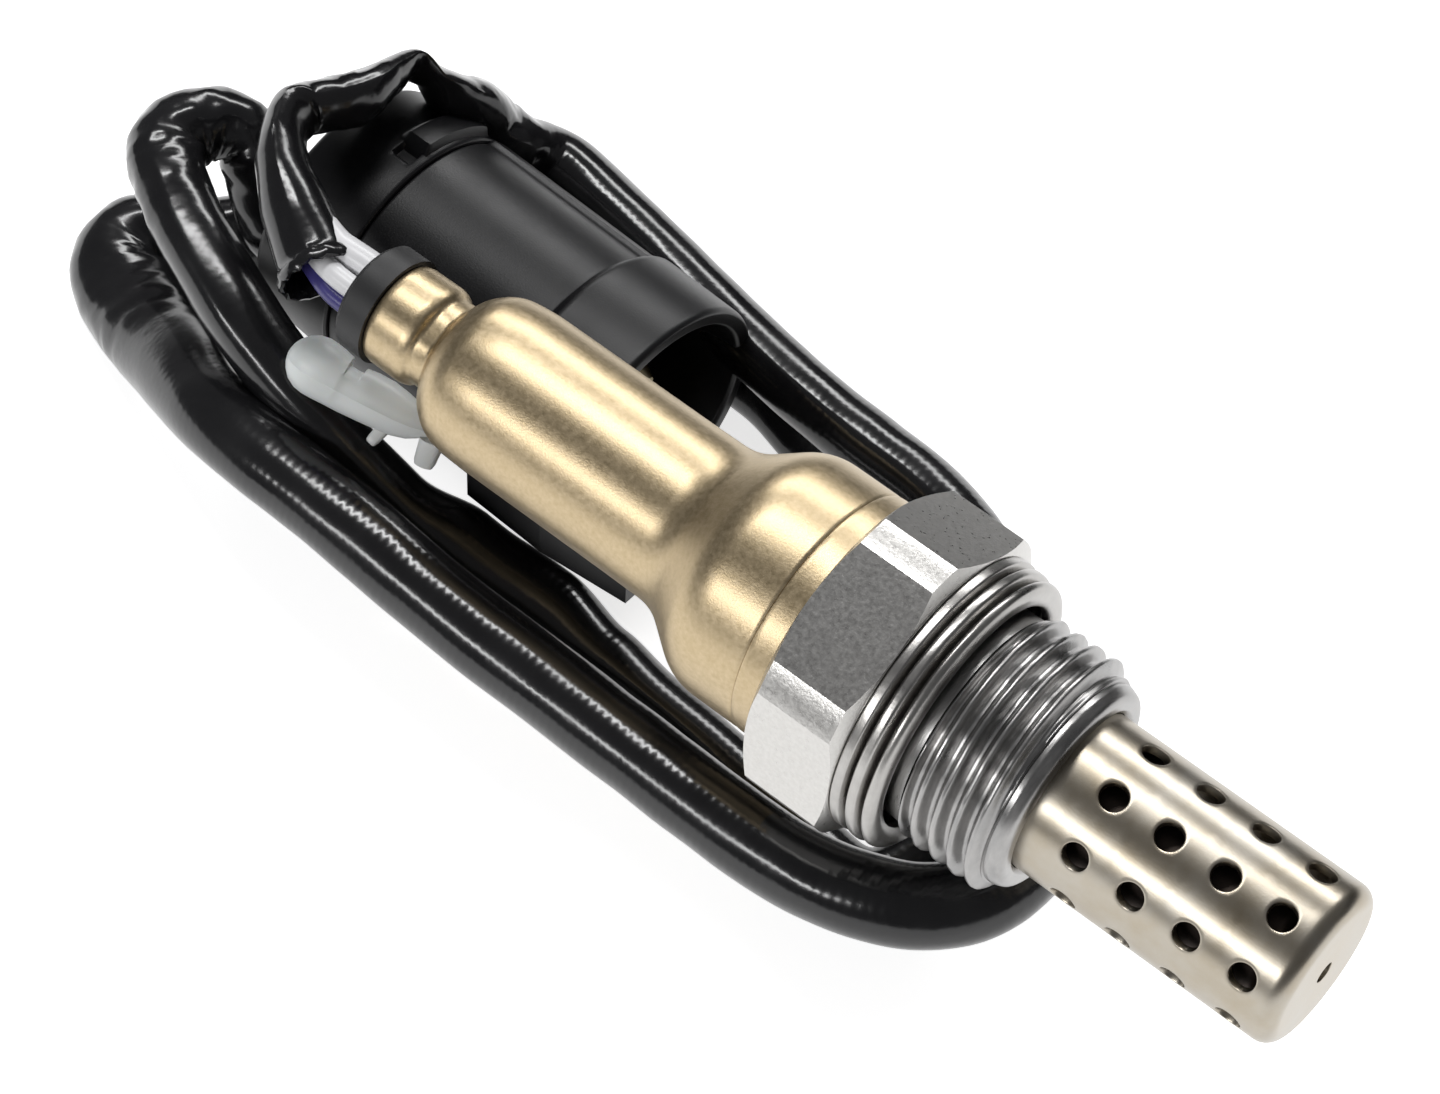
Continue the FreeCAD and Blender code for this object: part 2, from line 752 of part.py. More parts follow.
# Connector housing with its open mouth, placed under the upper sleeve
housing = newBody("connector_housing")
turned(housing, "HousingBody", [
    ("bodyRear", "coreFlange+0.1"),
    ("bodyRear", "bodyRad"),
    ("shroudRear-stepSoft", "bodyRad"),
    ("shroudRear", "shroudRad"),
    ("plugMouth", "shroudRad"),
    ("plugMouth", "shroudBore"),
    ("shroudRear", "shroudBore"),
    ("shroudRear-0.8", "bodyBore"),
    ("boreFloor", "bodyBore"),
    ("boreFloor", "coreRad+0.1"),
    ("coreStep", "coreRad+0.1"),
    ("coreStep", "coreFlange+0.1"),
])
soften(housing, "MouthSoft", 0.4, [("plugMouth", "shroudRad")])
keySketch = newSketch(housing, "YZ_Plane", "KeyOutline")
keySketch.AttachmentOffset = FreeCAD.Placement(Vec(0, 0, num("bodyRear")), FreeCAD.Rotation())
outline(keySketch, [
    ("keyWide*0.5", "bodyRad-0.5"),
    ("keyWide*0.5", "bodyRad+keyRise"),
    ("-keyWide*0.5", "bodyRad+keyRise"),
    ("-keyWide*0.5", "bodyRad-0.5"),
])
keySketch.setExpression("AttachmentOffset.Base.z", "Sizes.bodyRear")
doc.recompute()
keyPad = housing.newObject("PartDesign::Pad", "KeyPad")
keyPad.Profile = keySketch
keyPad.Length = num("shroudRear-bodyRear")
keyPad.setExpression("Length", "Sizes.shroudRear - Sizes.bodyRear")
doc.recompute()
housing.Tip = keyPad

# Rear cap of the connector with its latch lip
cap = newBody("connector_cap")
turned(cap, "CapBody", [
    ("capRear", "capHole"),
    ("capRear", "capRearRad-0.5"),
    ("capRear+0.5", "capRearRad"),
    ("capFront", "capRad"),
    ("capFront", "capBore"),
    ("capRear+capWall", "capBore"),
    ("capRear+capWall", "capHole"),
])
lipSketch = newSketch(cap, "YZ_Plane", "LipOutline")
lipTurn = FreeCAD.Rotation(Vec(0, 0, 1), num("capLipTurn"))
lipSketch.AttachmentOffset = FreeCAD.Placement(Vec(0, 0, num("capFront-capLipLong")), lipTurn)
outline(lipSketch, [
    ("-capLip*0.454", "capLip*0.891"),
    ("-capLip*0.233", "capLip*0.972"),
    ("0", "capLip"),
    ("capLip*0.233", "capLip*0.972"),
    ("capLip*0.454", "capLip*0.891"),
    ("capRearRad*0.454", "capRearRad*0.86"),
    ("-capRearRad*0.454", "capRearRad*0.86"),
])
lipSketch.setExpression("AttachmentOffset.Base.z", "Sizes.capFront - Sizes.capLipLong")
doc.recompute()
lipPad = cap.newObject("PartDesign::Pad", "LipPad")
lipPad.Profile = lipSketch
lipPad.Length = num("capLipLong")
lipPad.setExpression("Length", "Sizes.capLipLong")
doc.recompute()
cap.Tip = lipPad

# Rear seal of the connector
seal = newBody("connector_seal")
turned(seal, "SealBody", [
    ("sealRear", "0"),
    ("sealRear", "sealHub"),
    ("capRear+capWall", "sealHub"),
    ("capRear+capWall", "sealRad"),
    ("sealFront", "sealRad"),
    ("sealFront", "0"),
])

# Core that carries the four terminals
core = newBody("connector_core")
turned(core, "CoreBody", [
    ("coreRear", "0"),
    ("coreRear", "coreFlange"),
    ("coreStep", "coreFlange"),
    ("coreStep", "coreRad"),
    ("coreFront-0.4", "coreRad"),
    ("coreFront", "coreRad-0.4"),
    ("coreFront", "0"),
])
coreHoles = newSketch(core, "YZ_Plane", "TerminalHoles")
for sy, sz in (("", ""), ("-", ""), ("-", "-"), ("", "-")):
    circle(coreHoles, f"{sy}pinPitch*0.5", f"{sz}pinPitch*0.5", "pinRad+0.03")
doc.recompute()
before = core.Shape.Volume
pinCut = core.newObject("PartDesign::Pocket", "TerminalCut")
pinCut.Profile = coreHoles
pinCut.Type = 1
doc.recompute()
if core.Shape.Volume >= before:
    pinCut.Reversed = True
    doc.recompute()
core.Tip = pinCut
check(core, before, "TerminalCut")

# Connector pieces move from the sensor axis to their own axis
plugMove = plugPlace(-58)
plugBodies = [housing, cap, seal, core]
for body in plugBodies:
    body.Placement = plugMove
    body.setExpression("Placement.Base.y", "Sizes.plugY + Sizes.plugMouth * Sizes.plugSlope")
    body.setExpression("Placement.Base.z", "Sizes.plugZ")

# Four terminals in the core
terminalBodies = []
for k, (sy, sz) in enumerate(((1, 1), (-1, 1), (-1, -1), (1, -1))):
    half = num("pinPitch") / 2
    stem = Part.makeCylinder(
        num("pinRad"), num("pinFront-pinRear") - 0.8, Vec(num("pinRear"), half * sy, half * sz), Vec(1, 0, 0)
    )
    nose = Part.makeCone(
        num("pinRad"), num("pinRad") * 0.5, 0.8, Vec(num("pinFront") - 0.8, half * sy, half * sz), Vec(1, 0, 0)
    )
    item = doc.addObject("Part::Feature", f"terminal_{k + 1}Shape")
    item.Label = f"terminal_{k + 1}"
    item.Shape = stem.fuse(nose).removeSplitter()
    item.Placement = plugMove
    terminalBodies.append(item)

# Lock arm along the low side of the connector
armTurn = -87
armY = num("shroudRad") - 0.02
armRun = [
    (num("armRear"), num("bodyRad") - 0.05),
    (num("armRear"), num("bodyRad") + 0.85),
    (num("shroudRear") - 0.6, num("bodyRad") + 0.85),
    (num("shroudRear"), armY + num("armThick")),
    (num("plugMouth"), armY + num("armThick")),
    (num("armFront"), armY + num("armThick") - 1.0),
    (num("armFront"), armY - 0.6),
    (num("plugMouth"), armY),
    (num("shroudRear"), armY),
    (num("shroudRear") - 0.6, num("bodyRad") - 0.05),
]
armFace = Part.Face(Part.makePolygon([Vec(x, -num("armWide") / 2, r) for x, r in armRun + armRun[:1]]))
armSolid = armFace.extrude(Vec(0, num("armWide"), 0))
armRound = Part.makeCylinder(
    num("shroudRad"), num("plugMouth-shroudRear"), Vec(num("shroudRear"), 0, 0), Vec(1, 0, 0)
)
armBody = Part.makeCylinder(num("bodyRad"), num("shroudRear-bodyRear"), Vec(num("bodyRear"), 0, 0), Vec(1, 0, 0))
armCone = Part.makeCone(
    num("bodyRad"), num("shroudRad"), num("stepSoft"), Vec(num("shroudRear-stepSoft"), 0, 0), Vec(1, 0, 0)
)
lockArm = doc.addObject("Part::Feature", "lock_armShape")
lockArm.Label = "lock_arm"
lockArm.Shape = armSolid.cut(armRound.fuse([armBody, armCone]))
lockArm.Placement = plugPlace(-armTurn)

# Harness clip that rests on the sleeve beside the neck
clipHead = Vec(-53.1, -4.0, -7.0)
clipTail = Vec(-44.0, -1.6, -9.4)
legHead = Vec(-47.2, -1.9, -9.0)
legTail = Vec(-47.0, -4.4, -10.6)
clipWay = clipTail - clipHead
legWay = legTail - legHead
ballRad = num("clipBall")
barEnd = clipWay.Length
joinTurn = 0.5
arcSpots = [Vec(ballRad * math.sin(t), 0, ballRad * math.cos(t)) for t in (-math.pi / 2, -math.pi / 4, 0)]
arcMore = [Vec(ballRad * math.sin(t), 0, ballRad * math.cos(t)) for t in (0, joinTurn / 2, joinTurn)]
barSpots = [arcMore[2], Vec(barEnd - 0.4, 0, num("clipBar")), Vec(barEnd, 0, num("clipBar") - 0.4), Vec(barEnd, 0, 0)]
clipEdges = [Part.Arc(*arcSpots).toShape(), Part.Arc(*arcMore).toShape()]
clipEdges += [Part.LineSegment(p, q).toShape() for p, q in zip(barSpots, barSpots[1:] + arcSpots[:1])]
clipBody = Part.Face(Part.Wire(clipEdges)).revolve(Vec(0, 0, 0), Vec(1, 0, 0), 360)
clipBody.Placement = FreeCAD.Placement(clipHead, FreeCAD.Rotation(Vec(1, 0, 0), clipWay))
leg = Part.makeCylinder(num("clipLeg"), legWay.Length, legHead, legWay)
clip = doc.addObject("Part::Feature", "harness_clipShape")
clip.Label = "harness_clip"
clip.Shape = clipBody.fuse(leg).removeSplitter()

nodes = [
    shell, gasket, tube, inner, element, washer, talc, bush, spring, heater, upper, holder,
    *contactBodies, grommet, *leadBodies, protective, housing, cap, seal, core, *terminalBodies,
    lockArm, clip,
]

# The origin moves from the seat to the start of the full thread
threadBase = num("threadStart+threadRise")
for item in nodes:
    item.Placement = FreeCAD.Placement(Vec(-threadBase, 0, 0), FreeCAD.Rotation()).multiply(item.Placement)
doc.recompute()
for item in doc.Objects:
    if "Invalid" in item.State or "Error" in item.State:
        raise RuntimeError(f"{item.Label} is in error: {item.State}")
for item in nodes:
    shape = item.Shape
    if shape.isNull() or not shape.isValid() or shape.Volume <= 0:
        raise RuntimeError(f"{item.Label} has a bad shape")
    box = shape.BoundBox
    print(
        item.Label, "solids", len(shape.Solids), "volume", round(shape.Volume, 1),
        "box", [round(v, 2) for v in (box.XMin, box.YMin, box.ZMin, box.XMax, box.YMax, box.ZMax)],
    )
    shape.exportStep(f"parts/{item.Label}.step")
print("nodes", len(nodes))
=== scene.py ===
import bpy
import bmesh
import math
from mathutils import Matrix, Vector, noise


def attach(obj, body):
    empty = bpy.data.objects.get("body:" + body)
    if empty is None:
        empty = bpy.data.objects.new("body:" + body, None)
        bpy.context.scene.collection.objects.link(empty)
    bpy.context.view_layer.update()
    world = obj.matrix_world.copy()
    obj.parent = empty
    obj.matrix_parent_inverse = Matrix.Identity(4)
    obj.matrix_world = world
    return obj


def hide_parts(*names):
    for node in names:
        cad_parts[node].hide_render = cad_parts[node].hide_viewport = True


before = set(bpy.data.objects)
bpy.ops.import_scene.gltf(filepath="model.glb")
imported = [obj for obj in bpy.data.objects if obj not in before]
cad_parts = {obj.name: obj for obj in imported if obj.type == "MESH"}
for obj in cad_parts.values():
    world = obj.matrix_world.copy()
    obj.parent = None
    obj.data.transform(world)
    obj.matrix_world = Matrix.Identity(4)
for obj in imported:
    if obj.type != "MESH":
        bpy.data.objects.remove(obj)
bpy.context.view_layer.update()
print("frame loaded")

# Points are written in millimetres from the gasket seat, which stands at seatX in the frame
mm = 0.001
seatX = -4.6


def spot(x, y, z):
    return Vector(((x + seatX) * mm, y * mm, z * mm))


def ease(low, high, value):
    t = max(0.0, min(1.0, (value - low) / (high - low)))
    return t * t * (3 - 2 * t)


def wobble(x, y, z, size):
    return noise.noise(Vector((x / size, y / size, z / size)))


# Shader groups
def newGroup(name, inputs, outputs):
    group = bpy.data.node_groups.new(name, "ShaderNodeTree")
    for label, kind, value in inputs:
        item = group.interface.new_socket(label, in_out="INPUT", socket_type=kind)
        item.default_value = value
    for label, kind in outputs:
        group.interface.new_socket(label, in_out="OUTPUT", socket_type=kind)
    start = group.nodes.new("NodeGroupInput")
    end = group.nodes.new("NodeGroupOutput")
    return group, start, end


def addNode(tree, kind, values=None, **settings):
    node = tree.nodes.new(kind)
    for key, value in settings.items():
        setattr(node, key, value)
    for key, value in (values or {}).items():
        node.inputs[key].default_value = value
    return node


# Slow change of tone over a surface, as a mask between 0 and 1
def makeMottle():
    group, start, end = newGroup("mottle", [
        ("Scale", "NodeSocketFloat", 300.0),
        ("Stretch", "NodeSocketVector", (1.0, 1.0, 1.0)),
        ("Contrast", "NodeSocketFloat", 1.0),
    ], [("Mask", "NodeSocketFloat")])
    link = group.links.new
    place = addNode(group, "ShaderNodeTexCoord")
    stretch = addNode(group, "ShaderNodeVectorMath", operation="MULTIPLY")
    cloud = addNode(group, "ShaderNodeTexNoise", {"Detail": 6.0, "Roughness": 0.6})
    gain = addNode(group, "ShaderNodeMath", {2: 0.5}, operation="MULTIPLY_ADD", use_clamp=True)
    shift = addNode(group, "ShaderNodeMath", {1: 0.5}, operation="SUBTRACT")
    link(place.outputs["Object"], stretch.inputs[0])
    link(start.outputs["Stretch"], stretch.inputs[1])
    link(stretch.outputs[0], cloud.inputs["Vector"])
    link(start.outputs["Scale"], cloud.inputs["Scale"])
    link(cloud.outputs["Fac"], shift.inputs[0])
    link(shift.outputs[0], gain.inputs[0])
    link(start.outputs["Contrast"], gain.inputs[1])
    link(gain.outputs[0], end.inputs["Mask"])
    return group


# Fine grain as a bumped normal
def makeGrain():
    group, start, end = newGroup("grain", [
        ("Scale", "NodeSocketFloat", 6000.0),
        ("Stretch", "NodeSocketVector", (1.0, 1.0, 1.0)),
        ("Strength", "NodeSocketFloat", 0.2),
        ("Depth", "NodeSocketFloat", 0.00003),
    ], [("Normal", "NodeSocketVector")])
    link = group.links.new
    place = addNode(group, "ShaderNodeTexCoord")
    stretch = addNode(group, "ShaderNodeVectorMath", operation="MULTIPLY")
    cloud = addNode(group, "ShaderNodeTexNoise", {"Detail": 3.0, "Roughness": 0.55})
    bump = addNode(group, "ShaderNodeBump")
    link(place.outputs["Object"], stretch.inputs[0])
    link(start.outputs["Stretch"], stretch.inputs[1])
    link(stretch.outputs[0], cloud.inputs["Vector"])
    link(start.outputs["Scale"], cloud.inputs["Scale"])
    link(cloud.outputs["Fac"], bump.inputs["Height"])
    link(start.outputs["Strength"], bump.inputs["Strength"])
    link(start.outputs["Depth"], bump.inputs["Distance"])
    link(bump.outputs["Normal"], end.inputs["Normal"])
    return group


mottleGroup = makeMottle()
grainGroup = makeGrain()


def useGroup(tree, group, **values):
    node = tree.nodes.new("ShaderNodeGroup")
    node.node_tree = group
    for key, value in values.items():
        node.inputs[key].default_value = value
    return node


def newFinish(name):
    finish = bpy.data.materials.new(name)
    finish.use_nodes = True
    tree = finish.node_tree
    shader = tree.nodes["Principled BSDF"]
    return finish, tree, shader


# A metal or plastic finish: two tones, a roughness range and a grain
def surfaceFinish(name, tones, rough, mottle, grain, metal=0.0, specular=0.5):
    finish, tree, shader = newFinish(name)
    shader.inputs["Metallic"].default_value = metal
    shader.inputs["Specular IOR Level"].default_value = specular
    tone = useGroup(tree, mottleGroup, **mottle)
    mix = addNode(tree, "ShaderNodeMix", data_type="RGBA")
    mix.inputs["A"].default_value = (*tones[0], 1)
    mix.inputs["B"].default_value = (*tones[1], 1)
    tree.links.new(tone.outputs["Mask"], mix.inputs["Factor"])
    tree.links.new(mix.outputs["Result"], shader.inputs["Base Color"])
    spread = addNode(tree, "ShaderNodeMapRange", {"To Min": rough[0], "To Max": rough[1]})
    tree.links.new(tone.outputs["Mask"], spread.inputs["Value"])
    tree.links.new(spread.outputs["Result"], shader.inputs["Roughness"])
    bumps = useGroup(tree, grainGroup, **grain)
    tree.links.new(bumps.outputs["Normal"], shader.inputs["Normal"])
    return finish


brassLook = surfaceFinish(
    "satinBrass", [(0.40, 0.31, 0.18), (0.58, 0.47, 0.31)], (0.31, 0.43), metal=1.0,
    mottle={"Scale": 2600.0, "Contrast": 1.6}, grain={"Scale": 7000.0, "Strength": 0.35, "Depth": 0.00003},
)
hexLook = surfaceFinish(
    "plainSteel", [(0.52, 0.51, 0.49), (0.62, 0.61, 0.59)], (0.26, 0.36), metal=1.0,
    mottle={"Scale": 3000.0, "Contrast": 2.2}, grain={"Scale": 5000.0, "Strength": 0.35, "Depth": 0.00004},
)
threadLook = surfaceFinish(
    "threadSteel", [(0.24, 0.24, 0.24), (0.46, 0.45, 0.44)], (0.24, 0.40), metal=1.0,
    mottle={"Scale": 900.0, "Stretch": (1.0, 0.3, 0.3), "Contrast": 2.0},
    grain={"Scale": 2600.0, "Stretch": (1.0, 0.2, 0.2), "Strength": 0.4, "Depth": 0.00006},
)
gasketLook = surfaceFinish(
    "foldedSheet", [(0.34, 0.33, 0.32), (0.50, 0.49, 0.47)], (0.24, 0.38), metal=1.0,
    mottle={"Scale": 500.0, "Contrast": 1.5}, grain={"Scale": 2000.0, "Strength": 0.25, "Depth": 0.00005},
)
# Its warm darker tone is a painted reflection of the warm surroundings, laid in random blotches over the
# steel's own grey
tubeLook = surfaceFinish(
    "drawnTube", [(0.35, 0.29, 0.20), (0.47, 0.45, 0.41)], (0.27, 0.36), metal=1.0,
    mottle={"Scale": 240.0, "Contrast": 1.4}, grain={"Scale": 9000.0, "Strength": 0.2, "Depth": 0.00002},
)
darkTubeLook = surfaceFinish(
    "innerTube", [(0.05, 0.04, 0.035), (0.10, 0.08, 0.07)], (0.40, 0.55), metal=1.0,
    mottle={"Scale": 600.0, "Contrast": 1.5}, grain={"Scale": 4000.0, "Strength": 0.2, "Depth": 0.00003},
)
ceramicLook = surfaceFinish(
    "firedCeramic", [(0.80, 0.79, 0.74), (0.88, 0.87, 0.83)], (0.50, 0.62),
    mottle={"Scale": 500.0}, grain={"Scale": 6000.0, "Strength": 0.2, "Depth": 0.00003},
)
rubberLook = surfaceFinish(
    "blackRubber", [(0.007, 0.007, 0.008), (0.014, 0.014, 0.015)], (0.42, 0.58),
    mottle={"Scale": 700.0}, grain={"Scale": 5000.0, "Strength": 0.3, "Depth": 0.00003},
)
mouldLook = surfaceFinish(
    "blackMoulding", [(0.004, 0.004, 0.005), (0.008, 0.008, 0.009)], (0.34, 0.44),
    mottle={"Scale": 350.0, "Contrast": 1.2}, grain={"Scale": 7000.0, "Strength": 0.35, "Depth": 0.00003},
    specular=0.35,
)
clipLook = surfaceFinish(
    "greyMoulding", [(0.88, 0.88, 0.86), (0.94, 0.94, 0.92)], (0.34, 0.44),
    mottle={"Scale": 300.0}, grain={"Scale": 4000.0, "Strength": 0.15, "Depth": 0.00003},
)
clipLook.node_tree.nodes["Principled BSDF"].inputs["Subsurface Weight"].default_value = 0.1
pinLook = surfaceFinish(
    "platedPin", [(0.66, 0.56, 0.34), (0.78, 0.69, 0.46)], (0.25, 0.35), metal=1.0,
    mottle={"Scale": 500.0}, grain={"Scale": 5000.0, "Strength": 0.15, "Depth": 0.00002},
)


def wireLook(name, tones):
    return surfaceFinish(
        name, tones, (0.26, 0.36),
        mottle={"Scale": 500.0}, grain={"Scale": 1800.0, "Strength": 0.2, "Depth": 0.00005},
    )


whiteWire = wireLook("whiteWire", [(0.78, 0.78, 0.80), (0.88, 0.88, 0.89)])
blackWire = wireLook("blackWire", [(0.010, 0.010, 0.014), (0.022, 0.022, 0.030)])
violetWire = wireLook("violetWire", [(0.035, 0.03, 0.16), (0.07, 0.06, 0.24)])
print("finishes made")


# Mesh helpers
def shadeSmooth(mesh, angle):
    mesh.polygons.foreach_set("use_smooth", [True] * len(mesh.polygons))
    mesh.set_sharp_from_angle(angle=math.radians(angle))


def newPiece(name, points, faces, finish, angle=35.0):
    mesh = bpy.data.meshes.new(name)
    mesh.from_pydata([tuple(p) for p in points], [], faces)
    mesh.validate()
    mesh.materials.append(finish)
    shadeSmooth(mesh, angle)
    piece = bpy.data.objects.new(name, mesh)
    bpy.context.scene.collection.objects.link(piece)
    return piece


# Rings of equal count joined into a skin, with its ends open or closed
def ringSkin(rings, closeStart=False, closeEnd=False):
    count = len(rings[0])
    points = [p for ring in rings for p in ring]
    faces = []
    for i in range(len(rings) - 1):
        for k in range(count):
            n = (k + 1) % count
            faces.append((i * count + k, i * count + n, (i + 1) * count + n, (i + 1) * count + k))
    if closeStart:
        faces.append(tuple(range(count - 1, -1, -1)))
    if closeEnd:
        faces.append(tuple((len(rings) - 1) * count + k for k in range(count)))
    return points, faces


# Corners of an outline (x, radius, softness) turned into short arcs
def softOutline(corners, steps):
    out = []
    last = len(corners) - 1
    for i, (x, r, soft) in enumerate(corners):
        here = Vector((x, r))
        if i in (0, last) or soft <= 0:
            out.append((x, r))
            continue
        back = Vector(corners[i - 1][:2]) - here
        ahead = Vector(corners[i + 1][:2]) - here
        reach = min(soft, back.length * 0.48, ahead.length * 0.48)
        a = here + back.normalized() * reach
        b = here + ahead.normalized() * reach
        for k in range(steps + 1):
            t = k / steps
            p = a * (1 - t) ** 2 + here * 2 * t * (1 - t) + b * t * t
            out.append((p.x, p.y))
    return out


# A turned piece about the sensor's axis, with its radius changed by shape where one is given
def turned(name, outline, finish, count=144, angle=35.0, shape=None):
    rings = []
    for x, r in outline:
        ring = []
        for k in range(count):
            turn = 2 * math.pi * k / count
            rr = shape(x, r, turn) if shape else r
            ring.append(spot(x, rr * math.cos(turn), rr * math.sin(turn)))
        rings.append(ring)
    points, faces = ringSkin(rings)
    return newPiece(name, points, faces, finish, angle)


def place(piece, *nodes):
    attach(piece, "root")
    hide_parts(*nodes)
    return piece


# Threaded shell
shellSizes = {
    "flats": 22.0,
    "cornerRadius": 12.0,
    "turn": 22.4,
    "cornerPoints": 16,
    "flatPoints": 14,
    "edgeStart": 0.03,
    "edgeDepth": 0.56,
    "edgeSteps": 9,
    "rear": -7.2,
    "collarRear": -9.5,
    "collarRadius": 9.62,
    "relief": 8.3,
    "neckDrop": 0.45,
    "neckStart": 4.0,
    "neckEnd": 4.3,
    "threadStart": 4.1,
    "threadEnd": 10.8,
    "threadRows": 96,
    "pitch": 1.5,
    "crest": 9.0,
    "root": 8.16,
    "depth": 0.92,
    "wear": 0.05,
    "runIn": 0.5,
    "runOut": 10.25,
    "startDrop": 0.35,
    "startTaper": 4.5,
    "endDrop": 0.95,
    "endTaper": 10.3,
}


def hexRadius(turn, top):
    # Distance to the hexagon at this turn, never past the turned corners
    face = (math.degrees(turn) - 90.0 - shellSizes["turn"]) % 60.0
    if face > 30.0:
        face -= 60.0
    return min(shellSizes["flats"] / 2 / math.cos(math.radians(face)), top)


def hexTurns(top):
    # Turns of one ring, gathered on the flats and on the corners that this radius leaves
    s = shellSizes
    edge = max(math.degrees(math.acos(min(1.0, s["flats"] / 2 / top))), 0.9)
    turns = []
    for k in range(6):
        base = 90.0 + s["turn"] + 60.0 * k
        for i in range(s["cornerPoints"]):
            turns.append(math.radians(base - edge + 2 * edge * i / s["cornerPoints"]))
        for i in range(s["flatPoints"]):
            turns.append(math.radians(base + edge + (60.0 - 2 * edge) * i / s["flatPoints"]))
    return turns


def buildHexagon():
    s = shellSizes
    half = s["flats"] / 2
    rise = s["cornerRadius"] - half
    start = s["edgeStart"]
    deep = s["edgeDepth"]
    last = s["edgeSteps"]
    # Rear face, rear chamfer, front chamfer and the face behind the gasket
    steps = [(s["rear"], top) for top in (9.0, 10.2, 10.9)]
    for i in range(last + 1):
        steps.append((s["rear"] + start + deep * i / last, half + rise * i / last))
    for i in range(last + 1):
        steps.append((-start - deep * (last - i) / last, s["cornerRadius"] - rise * i / last))
    steps += [(0.0, top) for top in (10.9, 10.6, 8.2)]
    rings = []
    for x, top in steps:
        ring = []
        for a in hexTurns(top):
            r = hexRadius(a, top)
            ring.append(spot(x, r * math.cos(a), r * math.sin(a)))
        rings.append(ring)
    points, faces = ringSkin(rings)
    return newPiece("shellHexagon", points, faces, hexLook, angle=14.0)


def threadRadius(x, r, turn):
    # A helical groove that fades out at both ends, with worn crests
    s = shellSizes
    if not s["threadStart"] - 0.02 <= x <= s["threadEnd"] + 0.02 or r < s["root"] - 0.01:
        return r
    phase = ((x - s["threadStart"]) / s["pitch"] - turn / (2 * math.pi)) % 1.0
    slope = abs(phase - 0.5) * 2.0
    cut = s["depth"] * ease(0.10, 0.86, slope)
    fade = ease(s["threadStart"], s["threadStart"] + s["runIn"], x)
    fade *= 1 - ease(s["runOut"], s["threadEnd"], x)
    neck = s["neckDrop"] * (1 - fade) * (1 - ease(s["neckStart"], s["neckEnd"], x))
    worn = s["wear"] * wobble(x, s["crest"] * math.cos(turn), s["crest"] * math.sin(turn), 1.1)
    return r - cut * fade - neck + worn * fade


def buildThread():
    s = shellSizes
    outline = [(0.0, s["relief"]), (3.5, s["relief"]), (4.0, s["relief"]), (s["threadStart"], 8.35)]
    for i in range(s["threadRows"] + 1):
        x = s["threadStart"] + (s["threadEnd"] - s["threadStart"]) * i / s["threadRows"]
        start = s["startDrop"] * (1 - ease(s["threadStart"], s["startTaper"], x))
        end = s["endDrop"] * ease(s["endTaper"], s["threadEnd"], x)
        outline.append((x, max(s["crest"] - start - end, s["root"])))
    outline += softOutline([
        (10.85, 8.0, 0), (11.2, 8.02, 0.1), (11.9, 7.75, 0.25), (12.1, 7.3, 0.2), (12.1, 6.6, 0.1),
        (11.8, 6.25, 0),
    ], 4)
    return turned("shellThread", outline, threadLook, count=200, angle=50.0, shape=threadRadius)


def buildCollar():
    s = shellSizes
    outline = softOutline([
        (s["collarRear"], 9.0, 0), (s["collarRear"], 9.58, 0.08),
        (s["collarRear"] + 0.3, s["collarRadius"], 0.1), (s["rear"] - 0.15, s["collarRadius"], 0.15),
        (s["rear"] + 0.02, 9.9, 0.1), (s["rear"] + 0.05, 10.8, 0),
    ], 4)
    return turned("shellCollar", outline, brassLook, angle=40.0)


hexagon = place(buildHexagon(), "threaded_shell")
thread = place(buildThread(), "threaded_shell")
collar = place(buildCollar(), "threaded_shell")
print("shell built")

# Folded gasket
gasketSizes = {
    "outline": [
        (0.0, 9.0, 0), (0.0, 10.75, 0.1), (0.12, 10.88, 0.1), (0.75, 10.88, 0.12), (0.95, 10.45, 0.1),
        (1.05, 9.9, 0.05), (1.15, 10.45, 0.1), (1.35, 10.85, 0.15), (1.95, 10.85, 0.2), (2.15, 10.4, 0.1),
        (2.28, 9.7, 0.05), (2.42, 10.3, 0.1), (2.65, 10.72, 0.2), (3.1, 10.62, 0.2), (3.38, 10.1, 0.25),
        (3.4, 9.4, 0.2), (3.15, 8.95, 0.1), (2.6, 8.9, 0),
    ],
    "plainRadius": 9.2,
    "sway": 0.05,
    "dents": 0.035,
}


def gasketShape(x, r, turn):
    # The folded rim sways three times around and is a little dented
    if r < gasketSizes["plainRadius"]:
        return r
    dent = wobble(x * 2, 6 * math.cos(turn), 6 * math.sin(turn), 2.0)
    return r + gasketSizes["sway"] * math.sin(3 * turn + 1.3 * x) + gasketSizes["dents"] * dent


def buildGasket():
    outline = softOutline(gasketSizes["outline"], 4)
    return turned("gasketRing", outline, gasketLook, count=160, shape=gasketShape)


gasket = place(buildGasket(), "gasket_ring")

# Outer protection tube
tubeSizes = {
    "radius": 6.2,
    "wall": 0.6,
    "rear": 9.2,
    "front": 32.7,
    "firstHole": 16.0,
    "pitch": 4.5,
    "holeRadius": 1.0,
    "turn": 12.5,
    "rows": 4,
    "columns": 8,
    "cellSide": 12,
    "lip": 0.11,
    "lastReach": 1.55,
    "endRound": 1.3,
    "endHole": 0.8,
}


